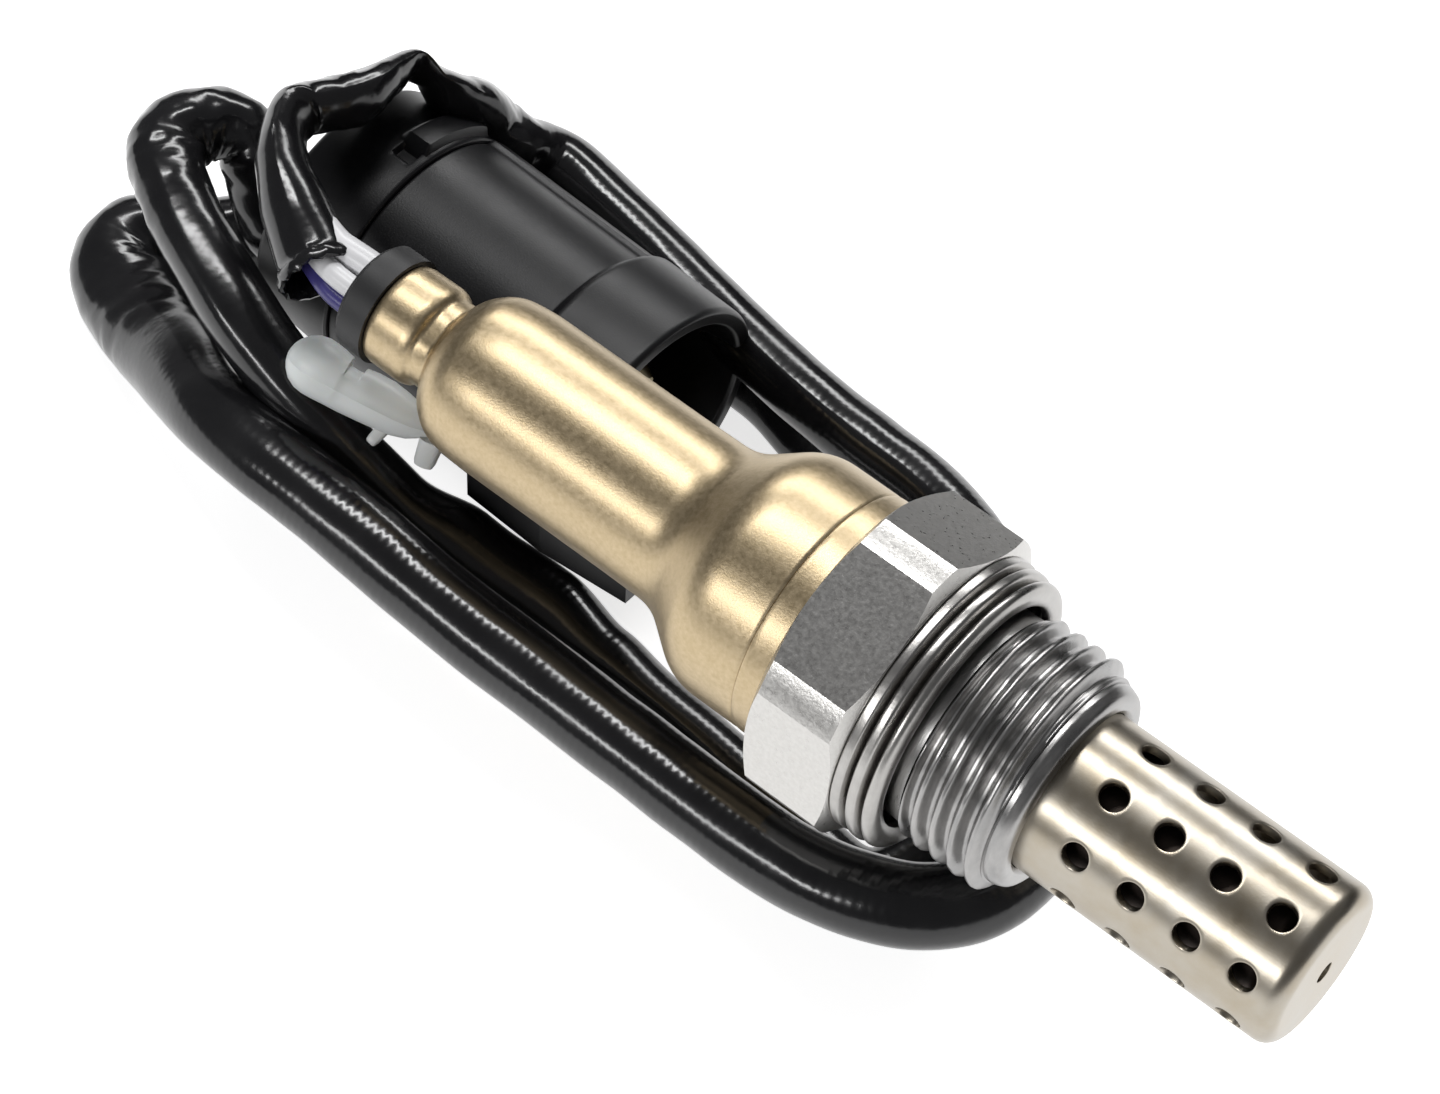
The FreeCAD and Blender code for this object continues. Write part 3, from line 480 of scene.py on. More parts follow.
def buildTube():
    s = tubeSizes
    points = []
    faces = []
    inside = s["radius"] - s["wall"]
    side = s["cellSide"]
    around = 4 * side
    halfTurn = math.radians(180.0 / s["columns"])
    halfLong = s["pitch"] / 2

    def put(x, turn, radius):
        points.append(spot(x, radius * math.cos(turn), radius * math.sin(turn)))

    def strip(first, second):
        for k in range(around):
            n = (k + 1) % around
            faces.append((first + k, first + n, second + n, second + k))

    # One square cell for each hole, from its border to the rounded lip and through the wall
    for row in range(s["rows"]):
        for column in range(s["columns"]):
            middleX = s["firstHole"] + s["pitch"] * row
            middleTurn = math.radians(s["turn"] + 360.0 / s["columns"] * column)
            ahead = s["lastReach"] if row == s["rows"] - 1 else halfLong
            border = []
            for k in range(around):
                edge, t = divmod(k, side)
                t = -1 + 2 * t / side
                border.append([(t, -1), (1, t), (-t, 1), (-1, -t)][edge])
            starts = []
            for keep in (1.0, 0.66, 0.36, 0.14):
                starts.append(len(points))
                for a, b in border:
                    way = math.atan2(b, a)
                    rim = s["holeRadius"] + s["lip"]
                    reach = ahead if a > 0 else halfLong
                    x = middleX + keep * a * reach + (1 - keep) * rim * math.cos(way)
                    arc = keep * b * halfTurn + (1 - keep) * rim * math.sin(way) / s["radius"]
                    put(x, middleTurn + arc, s["radius"])
            for wide, radius in ((s["lip"], s["radius"]), (s["lip"] * 0.35, s["radius"] - 0.03),
                                 (0.0, s["radius"] - s["lip"]), (0.0, inside + 0.02)):
                starts.append(len(points))
                for a, b in border:
                    way = math.atan2(b, a)
                    x = middleX + (s["holeRadius"] + wide) * math.cos(way)
                    put(x, middleTurn + (s["holeRadius"] + wide) * math.sin(way) / s["radius"], radius)
            starts.append(len(points))
            for a, b in border:
                put(middleX + a * (ahead if a > 0 else halfLong), middleTurn + b * halfTurn, inside)
            for first, second in zip(starts, starts[1:]):
                strip(first, second)
    # Plain skin before the first row and the rounded end after the last
    count = s["columns"] * side
    lowX = s["firstHole"] - halfLong
    highX = s["firstHole"] + s["pitch"] * (s["rows"] - 1) + s["lastReach"]

    def turnAt(k):
        return math.radians(s["turn"]) - halfTurn + 2 * math.pi * k / count

    def skin(outline):
        start = len(points)
        for x, radius in outline:
            for k in range(count):
                put(x, turnAt(k), radius)
        for i in range(len(outline) - 1):
            for k in range(count):
                n = (k + 1) % count
                a = start + i * count
                faces.append((a + k, a + count + k, a + count + n, a + n))

    skin([(s["rear"], s["radius"]), (12.0, s["radius"]), (12.9, s["radius"]), (lowX, s["radius"])])
    end = [(highX, s["radius"])]
    bend = s["endRound"]
    for i in range(13):
        turn = math.radians(7.5 * i)
        end.append((s["front"] - bend + bend * math.sin(turn), s["radius"] - bend + bend * math.cos(turn)))
    end += softOutline([
        (s["front"], 4.4, 0), (s["front"], s["endHole"] + 0.15, 0), (s["front"], s["endHole"], 0.1),
        (s["front"] - s["wall"], s["endHole"], 0),
    ], 5)
    skin(end)
    back = s["front"] - s["wall"]
    skin([(back, s["endHole"]), (back, 5.0), (back - 0.5, inside - 0.1), (highX, inside)])
    return newPiece("protectionTube", points, faces, tubeLook, angle=40.0)


def weldSkin(mesh, gap, angle):
    # The cells and plain skins of the tube become one skin
    work = bmesh.new()
    work.from_mesh(mesh)
    bmesh.ops.remove_doubles(work, verts=work.verts, dist=gap)
    bmesh.ops.recalc_face_normals(work, faces=work.faces)
    work.to_mesh(mesh)
    work.free()
    shadeSmooth(mesh, angle)


outerTube = place(buildTube(), "outer_protection_tube")
weldSkin(outerTube.data, gap=0.000004, angle=40.0)
print("tube built")

# Upper sleeve
upperSizes = {
    "outline": [
        (-9.5, 9.0, 0), (-9.5, 9.52, 0.06), (-9.75, 9.6, 0.1), (-15.0, 9.6, 1.6), (-19.4, 6.42, 1.5),
        (-24.0, 6.37, 0.5), (-38.2, 6.37, 1.6), (-40.6, 6.05, 1.4), (-42.1, 4.9, 1.0), (-42.6, 3.75, 0.5),
        (-42.9, 3.52, 0.25), (-44.1, 3.50, 0.25), (-44.5, 3.85, 0.2), (-45.0, 4.0, 0.3),
        (-47.6, 3.98, 0.4), (-48.1, 3.85, 0.15), (-48.1, 3.4, 0.1), (-47.4, 3.35, 0),
    ],
    "crimpRear": (-44.6, -44.0),
    "crimpFront": (-42.8, -42.4),
    "crimpTurn": 0.6,
    "crimpDepth": 0.12,
}


def upperShape(x, r, turn):
    # Three soft crimp dents in the neck
    rear = upperSizes["crimpRear"]
    front = upperSizes["crimpFront"]
    if x > front[1] or x < rear[0]:
        return r
    dent = max(0.0, math.cos(3 * turn + upperSizes["crimpTurn"])) ** 3
    return r - upperSizes["crimpDepth"] * dent * ease(*rear, x) * (1 - ease(*front, x))


def buildUpperSleeve():
    outline = softOutline(upperSizes["outline"], 7)
    return turned("upperSleeve", outline, brassLook, angle=40.0, shape=upperShape)


upper = place(buildUpperSleeve(), "upper_sleeve")
print("upper sleeve built")

# Harness route, from the sensor to the connector
low = -22.5
harness = {
    "diameter": 6.2,
    "length": 431.0,
    "step": 0.42,
    "around": 48,
    "mouthRings": 30,
    "mouthShare": 0.86,
    "ripple": 0.05,
    "bulge": 0.08,
    "sink": 0.16,
    "route": [
        (-55.4, -0.7, 0.1), (-57.8, 0.6, 0.5), (-60.4, 2.1, 0.9), (-63.0, 4.0, 1.0), (-65.0, 6.1, 0.9),
        (-66.0, 8.3, 0.6), (-64.7, 10.6, 0.2), (-63.6, 13.4, -0.6), (-63.7, 16.3, -2.0),
        (-63.9, 18.6, -3.1), (-61.9, 20.6, -5.6), (-60.6, 23.1, -9.0), (-58.7, 23.2, -12.0),
        (-57.2, 25.2, -14.6), (-54.6, 25.8, -15.8), (-44.4, 24.5, -16.7), (-36.1, 22.9, -16.7),
        (-24.9, 21.1, -16.3), (-14.0, 20.4, -15.4), (-6.6, 16.8, -14.5), (0.4, 12.2, -13.6),
        (6.2, 7.2, -13.2), (10.0, 0.6, -13.1), (7.7, -6.7, -13.6), (-0.8, -10.6, -13.7),
        (-11.0, -10.8, -13.8), (-22.4, -10.4, -14.0), (-33.9, -10.6, -13.6), (-46.9, -9.9, -12.8),
        (-57.2, -9.7, -13.0), (-64.3, -7.4, -16.4), (-70.6, -5.0, -20.2), (-76.0, -3.2, low),
        (-79.9, -0.9, low), (-80.8, 2.8, low), (-79.0, 5.4, low), (-75.6, 7.2, low), (-73.0, 11.8, low),
        (-71.6, 17.6, low), (-67.0, 23.2, low), (-58.6, 24.0, low), (-47.6, 23.6, low), (-36.0, 24.0, low),
        (-25.0, 23.6, low), (-15.0, 22.2, low), (-6.6, 18.4, low), (-1.0, 12.6, low), (1.0, 4.8, low),
        (1.2, -3.3, low), (-1.5, -5.8, low), (-6.7, -5.1, low), (-14.5, -3.8, low), (-21.5, -2.9, low),
        (-28.1, -2.9, low), (-34.1, -3.0, -22.0), (-38.8, -4.0, -20.6), (-44.4, -4.4, -18.2),
        (-49.0, -4.6, -15.4), (-53.5, -4.8, -12.6), (-58.7, -4.4, -10.2), (-63.1, -3.2, -8.9),
        (-68.3, -1.3, -8.2), (-72.3, 0.6, -8.0), (-75.3, 2.6, -8.0), (-76.4, 4.3, -8.0), (-76.1, 6.3, -8.0),
        (-74.8, 8.4, -8.4), (-72.7, 9.7, -9.6), (-70.8, 8.7, -12.0), (-68.9, 7.2, -14.6),
        (-66.6, 6.8, -15.6), (-65.5, 8.9, -15.0), (-66.17, 12.29, -14.8),
    ],
    # How flat the sleeve lies, as (distance, right half, left half, half depth) when followed from the sensor
    "flatness": [
        (0, 2.8, 2.8, 2.9), (4, 2.6, 2.6, 3.2), (8, 2.1, 2.1, 3.3), (11, 1.9, 1.5, 3.4),
        (14, 2.5, 1.5, 3.3), (19, 2.6, 1.5, 2.9), (22, 1.5, 1.3, 2.8), (25, 0.8, 1.0, 2.8),
        (27, 1.2, 0.8, 2.8), (30, 2.9, 0.8, 2.8), (34, 3.2, 1.4, 3.0), (38, 3.2, 2.0, 3.1),
        (44, 2.8, 2.5, 3.3), (70, 2.6, 2.6, 3.3), (84, 2.6, 2.6, 3.2), (98, 3.0, 3.0, 3.0),
        (130, 3.05, 3.05, 3.05), (180, 3.1, 3.05, 3.0), (192, 3.5, 3.05, 2.9), (202, 4.5, 3.0, 2.9),
        (211, 5.1, 2.9, 3.1), (217, 4.7, 2.9, 2.9), (223, 4.5, 2.3, 2.9), (234, 4.6, 1.9, 2.9),
        (244, 2.9, 2.9, 2.9), (268, 2.95, 2.95, 2.95), (276, 3.3, 2.95, 2.95), (284, 4.4, 2.95, 2.95),
        (292, 4.0, 2.95, 2.95), (300, 2.95, 2.95, 2.95), (335, 2.95, 2.95, 3.0), (352, 2.35, 2.35, 3.3),
        (357, 2.9, 2.35, 3.2), (363, 3.9, 2.35, 3.1), (371, 3.9, 2.35, 3.1), (377, 2.6, 2.35, 3.1),
        (384, 2.5, 2.35, 3.1), (391, 3.2, 2.35, 3.1), (398, 3.3, 2.35, 3.1), (405, 3.2, 2.35, 3.1),
        (414, 3.6, 2.4, 3.0), (420, 2.9, 2.35, 3.0), (440, 2.35, 2.35, 3.1),
    ],
    # Tight folds, as (distance, reach, depth of the buckles)
    "folds": [
        (12.5, 3.5, 0.16), (19.0, 4.0, 0.18), (30.0, 3.0, 0.18), (36.5, 3.0, 0.26), (93.0, 9.0, 0.06),
        (110.0, 10.0, 0.07), (208.0, 5.0, 0.10), (217.0, 5.0, 0.14), (318.0, 10.0, 0.07), (409.0, 5.0, 0.22),
        (418.0, 5.0, 0.26), (428.0, 4.0, 0.20),
    ],
    # How strongly the fine ribs show, as (distance, share)
    "ribShare": [
        (0, 0.25), (60, 0.35), (95, 0.8), (130, 1.0), (178, 1.0), (188, 0.35), (200, 0.06),
        (240, 0.1), (320, 0.5), (345, 1.0), (372, 0.9), (384, 0.25), (440, 0.15),
    ],
}


def splinePoints(name, route, detail):
    curve = bpy.data.curves.new(name, "CURVE")
    curve.dimensions = "3D"
    curve.resolution_u = detail
    line = curve.splines.new("NURBS")
    line.points.add(len(route) - 1)
    for point, (x, y, z) in zip(line.points, route):
        point.co = (*spot(x, y, z), 1)
    line.order_u = 3
    line.use_endpoint_u = True
    holder = bpy.data.objects.new(name, curve)
    bpy.context.scene.collection.objects.link(holder)
    bpy.context.view_layer.update()
    mesh = bpy.data.meshes.new_from_object(holder.evaluated_get(bpy.context.evaluated_depsgraph_get()))
    path = [v.co.copy() for v in mesh.vertices]
    bpy.data.objects.remove(holder)
    bpy.data.meshes.remove(mesh)
    return path


def evenPath(path, step):
    out = [path[0].copy()]
    left = step
    for a, b in zip(path, path[1:]):
        long = (b - a).length
        at = 0.0
        while long - at >= left:
            at += left
            out.append(a.lerp(b, at / long))
            left = step
        left -= long - at
    if (out[-1] - path[-1]).length > step * 0.3:
        out.append(path[-1].copy())
    else:
        out[-1] = path[-1].copy()
    return out


foldWay = Vector((0.333, -0.399, 0.854))  # Towards the camera, where the sleeve's deep side points


def frames(path):
    # The flat side and the deep side of the sleeve for each point of the path
    out = []
    for i, p in enumerate(path):
        way = path[min(i + 1, len(path) - 1)] - path[max(i - 1, 0)]
        way.normalize()
        deep = foldWay - way * foldWay.dot(way)
        deep.normalize()
        out.append((p, way, way.cross(deep), deep))
    return out


def tableAt(table, along):
    # Soft steps between the rows of a table of distances
    for first, second in zip(table, table[1:]):
        if along <= second[0]:
            t = ease(first[0], second[0], along)
            return [a + (b - a) * t for a, b in zip(first[1:], second[1:])]
    return list(table[-1][1:])


sleevePath = evenPath(splinePoints("harnessLine", harness["route"], 24), harness["step"] * mm)
sleeveLength = sum((b - a).length for a, b in zip(sleevePath, sleevePath[1:]))
print("harness line", len(sleevePath), "points", round(sleeveLength * 1000, 1), "mm")


def foldDepth(along):
    deep = 0.0
    for at, reach, size in harness["folds"]:
        deep = max(deep, size * math.exp(-((along - at) / reach) ** 2))
    return deep


def sleeveRing(pathFrame, along):
    p, way, side, deep = pathFrame
    right, left, tall = tableAt(harness["flatness"], along)
    thick = (right + left) / 2
    flat = 1 - min(thick / tall, 1.0)
    fold = foldDepth(along)
    ring = []
    for k in range(harness["around"]):
        turn = 2 * math.pi * k / harness["around"]
        a = math.cos(turn)
        b = math.sin(turn)
        # A flattened sleeve has two broad walls that meet in narrow edges
        across = math.copysign(abs(a) ** (1 + 0.5 * flat), a) * (right if a > 0 else left)
        height = math.copysign(abs(b) ** (1 - 0.2 * flat), b) * tall
        wave = harness["ripple"] * wobble(along, 3 * a, 3 * b, 3.4)
        wave += harness["bulge"] * wobble(along * 0.3, 2.2 * a, 2.2 * b, 2.6)
        broad = wobble(along * 1.1, 2.0 * a + 5, 2.0 * b, 1.5)
        fine = wobble(along * 2.2, 3 * a, 3 * b + 9, 1.5)
        wave += fold * (broad + 0.5 * fine)
        # Walls pressed together sink a little between their edges
        sink = harness["sink"] * flat * thick * math.cos(2 * turn) * wobble(along, 1.7, 4.0, 9.0)
        across += (a * wave - math.copysign(sink, a)) * min(1.0, 0.35 + thick / 3.1)
        height += b * wave
        ring.append(p + side * across * mm + deep * height * mm)
    return ring


def buildLips(mouthFrame):
    # The cut mouth is turned out into a ragged lip
    p, way, side, deep = mouthFrame
    right, left, tall = tableAt(harness["flatness"], 0.0)
    lips = []
    for back, grow in ((-0.25, 1.06), (-0.75, 1.13), (-1.1, 1.09), (-1.15, 1.0), (-0.9, 0.92)):
        ring = []
        for k in range(harness["around"]):
            turn = 2 * math.pi * k / harness["around"]
            a = math.cos(turn)
            b = math.sin(turn)
            rag = 0.34 * wobble(4 * a, 4 * b, 1.0, 1.1) + 0.28 * wobble(4 * a, 4 * b, 9.0, 0.6)
            wide = grow * (1 + 0.07 * wobble(5 * a, 5 * b, back * 3, 1.0))
            reach = side * (a * right * wide) + deep * (b * tall * wide) + way * (back - rag)
            ring.append(p + reach * mm)
        lips.append(ring)
    return lips


def buildSleeve():
    lineFrames = frames(sleevePath)
    rings = [sleeveRing(item, i * harness["step"]) for i, item in enumerate(lineFrames)]
    lips = buildLips(lineFrames[0])
    # From the lip the wall runs back inside
    inner = []
    for i in range(0, harness["mouthRings"], 2):
        p = lineFrames[i][0]
        inner.append([p + (q - p) * harness["mouthShare"] for q in rings[i]])
    points, faces = ringSkin(inner[::-1] + lips[::-1] + rings, closeStart=True, closeEnd=True)
    piece = newPiece("harnessSleeve", points, faces, vinylLook, angle=50.0)
    for name in ("run", "share"):
        piece.data.uv_layers.new(name=name)
    run = piece.data.uv_layers["run"]
    shares = piece.data.uv_layers["share"]
    count = harness["around"]
    skipped = len(inner) + len(lips)
    for face in piece.data.polygons:
        spots = [piece.data.loops[n].vertex_index for n in face.loop_indices]
        seam = any(v % count == 0 for v in spots) and any(v % count == count - 1 for v in spots)
        for loop, v in zip(face.loop_indices, spots):
            around = v % count
            if seam and around == 0:
                around = count
            along = (v // count - skipped) * harness["step"]
            run.data[loop].uv = (around / count, along / 100.0)
            shares.data[loop].uv = (tableAt(harness["ribShare"], max(along, 0.0))[0], 0.0)
    return piece


# Fine ribs around the sleeve that break its highlights into short dashes
def makeRibs():
    group, start, end = newGroup("ribs", [
        ("Pitch", "NodeSocketFloat", 0.0072),
        ("Sway", "NodeSocketFloat", 0.5),
    ], [("Height", "NodeSocketFloat")])
    link = group.links.new
    place = addNode(group, "ShaderNodeUVMap", uv_map="run")
    parts = addNode(group, "ShaderNodeSeparateXYZ")
    spread = addNode(group, "ShaderNodeTexCoord")
    cloud = addNode(group, "ShaderNodeTexNoise", {"Scale": 700.0, "Detail": 2.0})
    sway = addNode(group, "ShaderNodeMath", operation="MULTIPLY")
    count = addNode(group, "ShaderNodeMath", operation="DIVIDE")
    total = addNode(group, "ShaderNodeMath", operation="ADD")
    circle = addNode(group, "ShaderNodeMath", {1: 2 * math.pi}, operation="MULTIPLY")
    wave = addNode(group, "ShaderNodeMath", operation="SINE")
    strength = addNode(group, "ShaderNodeUVMap", uv_map="share")
    sides = addNode(group, "ShaderNodeSeparateXYZ")
    height = addNode(group, "ShaderNodeMath", operation="MULTIPLY")
    link(place.outputs["UV"], parts.inputs[0])
    link(parts.outputs["Y"], count.inputs[0])
    link(start.outputs["Pitch"], count.inputs[1])
    link(spread.outputs["Object"], cloud.inputs["Vector"])
    link(cloud.outputs["Fac"], sway.inputs[0])
    link(start.outputs["Sway"], sway.inputs[1])
    link(count.outputs[0], total.inputs[0])
    link(sway.outputs[0], total.inputs[1])
    link(total.outputs[0], circle.inputs[0])
    link(circle.outputs[0], wave.inputs[0])
    link(strength.outputs["UV"], sides.inputs[0])
    link(wave.outputs[0], height.inputs[0])
    link(sides.outputs["X"], height.inputs[1])
    link(height.outputs[0], end.inputs["Height"])
    return group


ribsGroup = makeRibs()


def makeVinyl():
    finish, tree, shader = newFinish("glossyVinyl")
    link = tree.links.new
    shader.inputs["Specular IOR Level"].default_value = 0.55
    tone = useGroup(tree, mottleGroup, Scale=260.0, Contrast=1.6)
    mix = addNode(tree, "ShaderNodeMix", data_type="RGBA")
    mix.inputs["A"].default_value = (0.006, 0.006, 0.007, 1)
    mix.inputs["B"].default_value = (0.014, 0.014, 0.015, 1)
    link(tone.outputs["Mask"], mix.inputs["Factor"])
    link(mix.outputs["Result"], shader.inputs["Base Color"])
    rough = addNode(tree, "ShaderNodeMapRange", {"To Min": 0.12, "To Max": 0.24})
    link(tone.outputs["Mask"], rough.inputs["Value"])
    link(rough.outputs["Result"], shader.inputs["Roughness"])
    spread = addNode(tree, "ShaderNodeTexCoord")
    beads = addNode(tree, "ShaderNodeTexVoronoi", {"Scale": 1700.0, "Randomness": 0.9})
    cloud = addNode(tree, "ShaderNodeTexNoise", {"Scale": 420.0, "Detail": 4.0, "Roughness": 0.6})
    ribs = useGroup(tree, ribsGroup)
    soft = addNode(tree, "ShaderNodeMath", {1: 0.35}, operation="MULTIPLY")
    first = addNode(tree, "ShaderNodeMath", {1: 0.05}, operation="MULTIPLY_ADD")
    second = addNode(tree, "ShaderNodeMath", {1: 0.05}, operation="MULTIPLY_ADD")
    bump = addNode(tree, "ShaderNodeBump", {"Strength": 0.6, "Distance": 0.00012})
    link(spread.outputs["Object"], beads.inputs["Vector"])
    link(spread.outputs["Object"], cloud.inputs["Vector"])
    link(beads.outputs["Distance"], first.inputs[0])
    link(cloud.outputs["Fac"], soft.inputs[0])
    link(soft.outputs[0], first.inputs[2])
    link(ribs.outputs["Height"], second.inputs[0])
    link(first.outputs[0], second.inputs[2])
    link(second.outputs[0], bump.inputs["Height"])
    link(bump.outputs["Normal"], shader.inputs["Normal"])
    return finish


vinylLook = makeVinyl()
sleeve = place(buildSleeve(), "protective_sleeve")
print("harness sleeve built")

# Leads between the grommet and the sleeve
leads = {
    "lead_white_one": {"finish": whiteWire, "radius": 1.15, "start": (1.0, 1.35), "end": (0.7, 1.0)},
    "lead_white_two": {"finish": whiteWire, "radius": 0.85, "start": (-1.2, 1.4), "end": (-0.9, 0.9)},
    "lead_black": {"finish": blackWire, "radius": 0.95, "start": (-1.2, -1.1), "end": (-0.8, -0.9)},
    "lead_violet": {"finish": violetWire, "radius": 0.75, "start": (-2.0, 0.2), "end": (-1.4, 0.1)},
}


def buildLead(name, route, radius, finish):
    around = 16
    path = splinePoints(name + "Line", route, 10)
    rings = []
    for p, way, side, up in frames(path):
        ring = []
        for k in range(around):
            turn = 2 * math.pi * k / around
            ring.append(p + (side * math.cos(turn) + up * math.sin(turn)) * radius * mm)
        rings.append(ring)
    points, faces = ringSkin(rings, closeStart=True, closeEnd=True)
    return newPiece(name, points, faces, finish, angle=60.0)


for name, item in leads.items():
    sy, sz = item["start"]
    ey, ez = item["end"]
    route = [
        (-49.6, sy, sz), (-51.4, sy * 1.02, sz), (-53.2, sy * 0.95, sz * 0.95 + 0.1),
        (-55.2, ey + 0.25, ez + 0.2), (-58.0, ey + 1.1, ez + 0.6),
    ]
    piece = place(buildLead(name.replace("_", "") + "Piece", route, item["radius"], item["finish"]), name)
print("leads built")

# Connector
plug = {
    "centre": (11.0, -14.8),
    "mouth": -34.0,
    "slope": 0.04,
    "around": 240,
    "shroudRear": -41.3,
    "mouthFloor": -50.0,
    "bodyRear": -57.8,
    "capRear": -65.7,
    "keyTurn": 32.0,
    "keyWide": 2.4,
    "keyRise": 0.38,
    "lip": (37.0, 78.0),
    "lipRise": 0.75,
    "lipRear": (-61.2, -60.4),
    "lipFront": (-58.5, -58.25),
    "notchDepth": 0.55,
    "notchRear": (-60.6, -60.3),
    "notchFront": (-58.9, -58.6),
}
plugYaw = math.atan(plug["slope"])


def plugSpot(x, r, turn):
    # From the connector's own axis, which leans a little from the sensor's
    y = r * math.cos(turn)
    ahead = x - plug["mouth"]
    return spot(
        plug["mouth"] + ahead * math.cos(plugYaw) + y * math.sin(plugYaw),
        plug["centre"][0] - ahead * math.sin(plugYaw) + y * math.cos(plugYaw),
        plug["centre"][1] + r * math.sin(turn),
    )


def turnedPlug(name, outline, shape):
    turns = [2 * math.pi * k / plug["around"] for k in range(plug["around"])]
    rings = []
    for x, r in outline:
        rings.append([plugSpot(x, shape(x, r, turn), turn) for turn in turns])
    points, faces = ringSkin(rings)
    return newPiece(name, points, faces, mouldLook, angle=32.0)


def housingShape(x, r, turn):
    # One low key runs along the body
    if r < 9.7 or x > plug["shroudRear"] - 0.4:
        return r
    away = abs(math.degrees(turn) - plug["keyTurn"])
    half = math.degrees(plug["keyWide"] / 2 / r)
    return r + plug["keyRise"] * (1 - ease(half - 1.0, half + 1.0, away))


def buildHousing():
    rear = plug["bodyRear"]
    shroud = plug["shroudRear"]
    mouth = plug["mouth"]
    outline = softOutline([
        (rear, 8.5, 0), (rear, 9.9, 0.12), (rear + 0.2, 10.0, 0.1), (shroud - 0.7, 10.0, 0.15),
        (shroud - 0.1, 10.72, 0.2), (shroud + 0.2, 10.8, 0.15), (mouth - 0.35, 10.8, 0.25),
        (mouth, 10.58, 0.15), (mouth, 9.6, 0.12), (mouth - 0.3, 9.42, 0.1), (shroud, 9.38, 0.4),
        (shroud - 0.8, 8.5, 0.3), (plug["mouthFloor"] + 0.1, 8.4, 0.1), (plug["mouthFloor"], 5.9, 0),
    ], 5)
    return turnedPlug("plugHousing", outline, housingShape)


housing = place(buildHousing(), "connector_housing")


def capShape(x, r, turn):
    # The latch lip stands up at the front of the cap, with a notch beyond its upper end
    if r < 9.6:
        return r
    at = math.degrees(turn)
    start, end = plug["lip"]
    over = ease(start - 3, start + 4, at) * (1 - ease(end - 1.5, end + 1.5, at))
    along = ease(*plug["lipRear"], x) * (1 - ease(*plug["lipFront"], x))
    notch = ease(end + 1.0, end + 2.5, at) * (1 - ease(end + 8.0, end + 9.5, at))
    notch *= ease(*plug["notchRear"], x) * (1 - ease(*plug["notchFront"], x))
    return r + plug["lipRise"] * over * along - plug["notchDepth"] * notch


def buildCap():
    rear = plug["capRear"]
    front = plug["bodyRear"]
    outline = softOutline([(rear, 3.5, 0), (rear, 9.55, 0.3), (rear + 0.4, 9.9, 0.3), (-61.6, 10.12, 0)], 5)
    # Close rows where the lip and its notch stand
    outline += [(-61.4 + 0.12 * i, 10.13 + 0.005 * i) for i in range(29)]
    outline += softOutline([(front - 0.15, 10.3, 0), (front, 10.2, 0.08), (front, 8.6, 0)], 4)
    return turnedPlug("plugCap", outline, capShape)


cap = place(buildCap(), "connector_cap")
print("connector built")

# Harness clip
clipSizes = {
    "head": (-53.1, -4.0, -7.0),
    "tail": (-44.0, -1.6, -9.4),
    "around": 64,
    # Rows are (share of the length, low half, high half, depth)
    "rows": [
        (-0.228, 0.25, 0.25, 0.25), (-0.215, 0.75, 0.75, 0.75), (-0.19, 1.2, 1.2, 1.2),
        (-0.14, 1.75, 1.75, 1.75), (-0.07, 2.12, 2.12, 2.12), (0.0, 2.25, 2.25, 2.25),
        (0.07, 2.26, 2.2, 2.2), (0.14, 2.24, 2.08, 2.05), (0.20, 2.22, 1.92, 1.9),
        (0.225, 2.22, 1.88, 1.88), (0.235, 2.22, 1.25, 1.8), (0.30, 2.2, 1.2, 1.75),
        (0.345, 2.18, 1.22, 1.72), (0.355, 2.17, 1.62, 1.72), (0.45, 2.12, 1.74, 1.7),
        (0.58, 2.02, 1.74, 1.65), (0.72, 1.88, 1.5, 1.55), (0.84, 1.55, 1.2, 1.3),
        (0.94, 1.0, 0.9, 0.95), (1.0, 0.6, 0.6, 0.6),
    ],
    "legHead": (-47.0, -2.9, -9.6),
    "legTail": (-47.3, -5.0, -10.4),
    "legRadius": 0.55,
    "footHead": (-43.6, -2.2, -9.6),
    "footTail": (-43.4, -3.6, -11.2),
    "footRadius": 0.95,
    "stubAround": 24,
    "seamTurn": 68.0,
    "seamWide": 3.5,
    "seamRise": 0.09,
}


def clipSeam(turn):
    # The parting line of the mould stands a little proud on both sides
    seam = 0.0
    for at in (clipSizes["seamTurn"], clipSizes["seamTurn"] + 180.0):
        away = (math.degrees(turn) - at) / clipSizes["seamWide"]
        seam += clipSizes["seamRise"] * math.exp(-away ** 2)
    return seam


def clipStub(start, end, radius):
    # A short peg with soft corners
    along = (end - start).normalized()
    first = along.cross(foldWay).normalized()
    second = first.cross(along)
    count = clipSizes["stubAround"]
    rings = []
    for t, share in ((0.0, 1.0), (0.25, 0.96), (0.8, 0.86), (0.95, 0.74), (1.0, 0.5)):
        ring = []
        for k in range(count):
            turn = 2 * math.pi * k / count
            a = math.copysign(abs(math.cos(turn)) ** 0.7, math.cos(turn))
            b = math.copysign(abs(math.sin(turn)) ** 0.7, math.sin(turn))
            ring.append(start.lerp(end, t) + (first * a + second * b) * radius * share * mm)
        rings.append(ring)
    return ringSkin(rings, closeEnd=True)


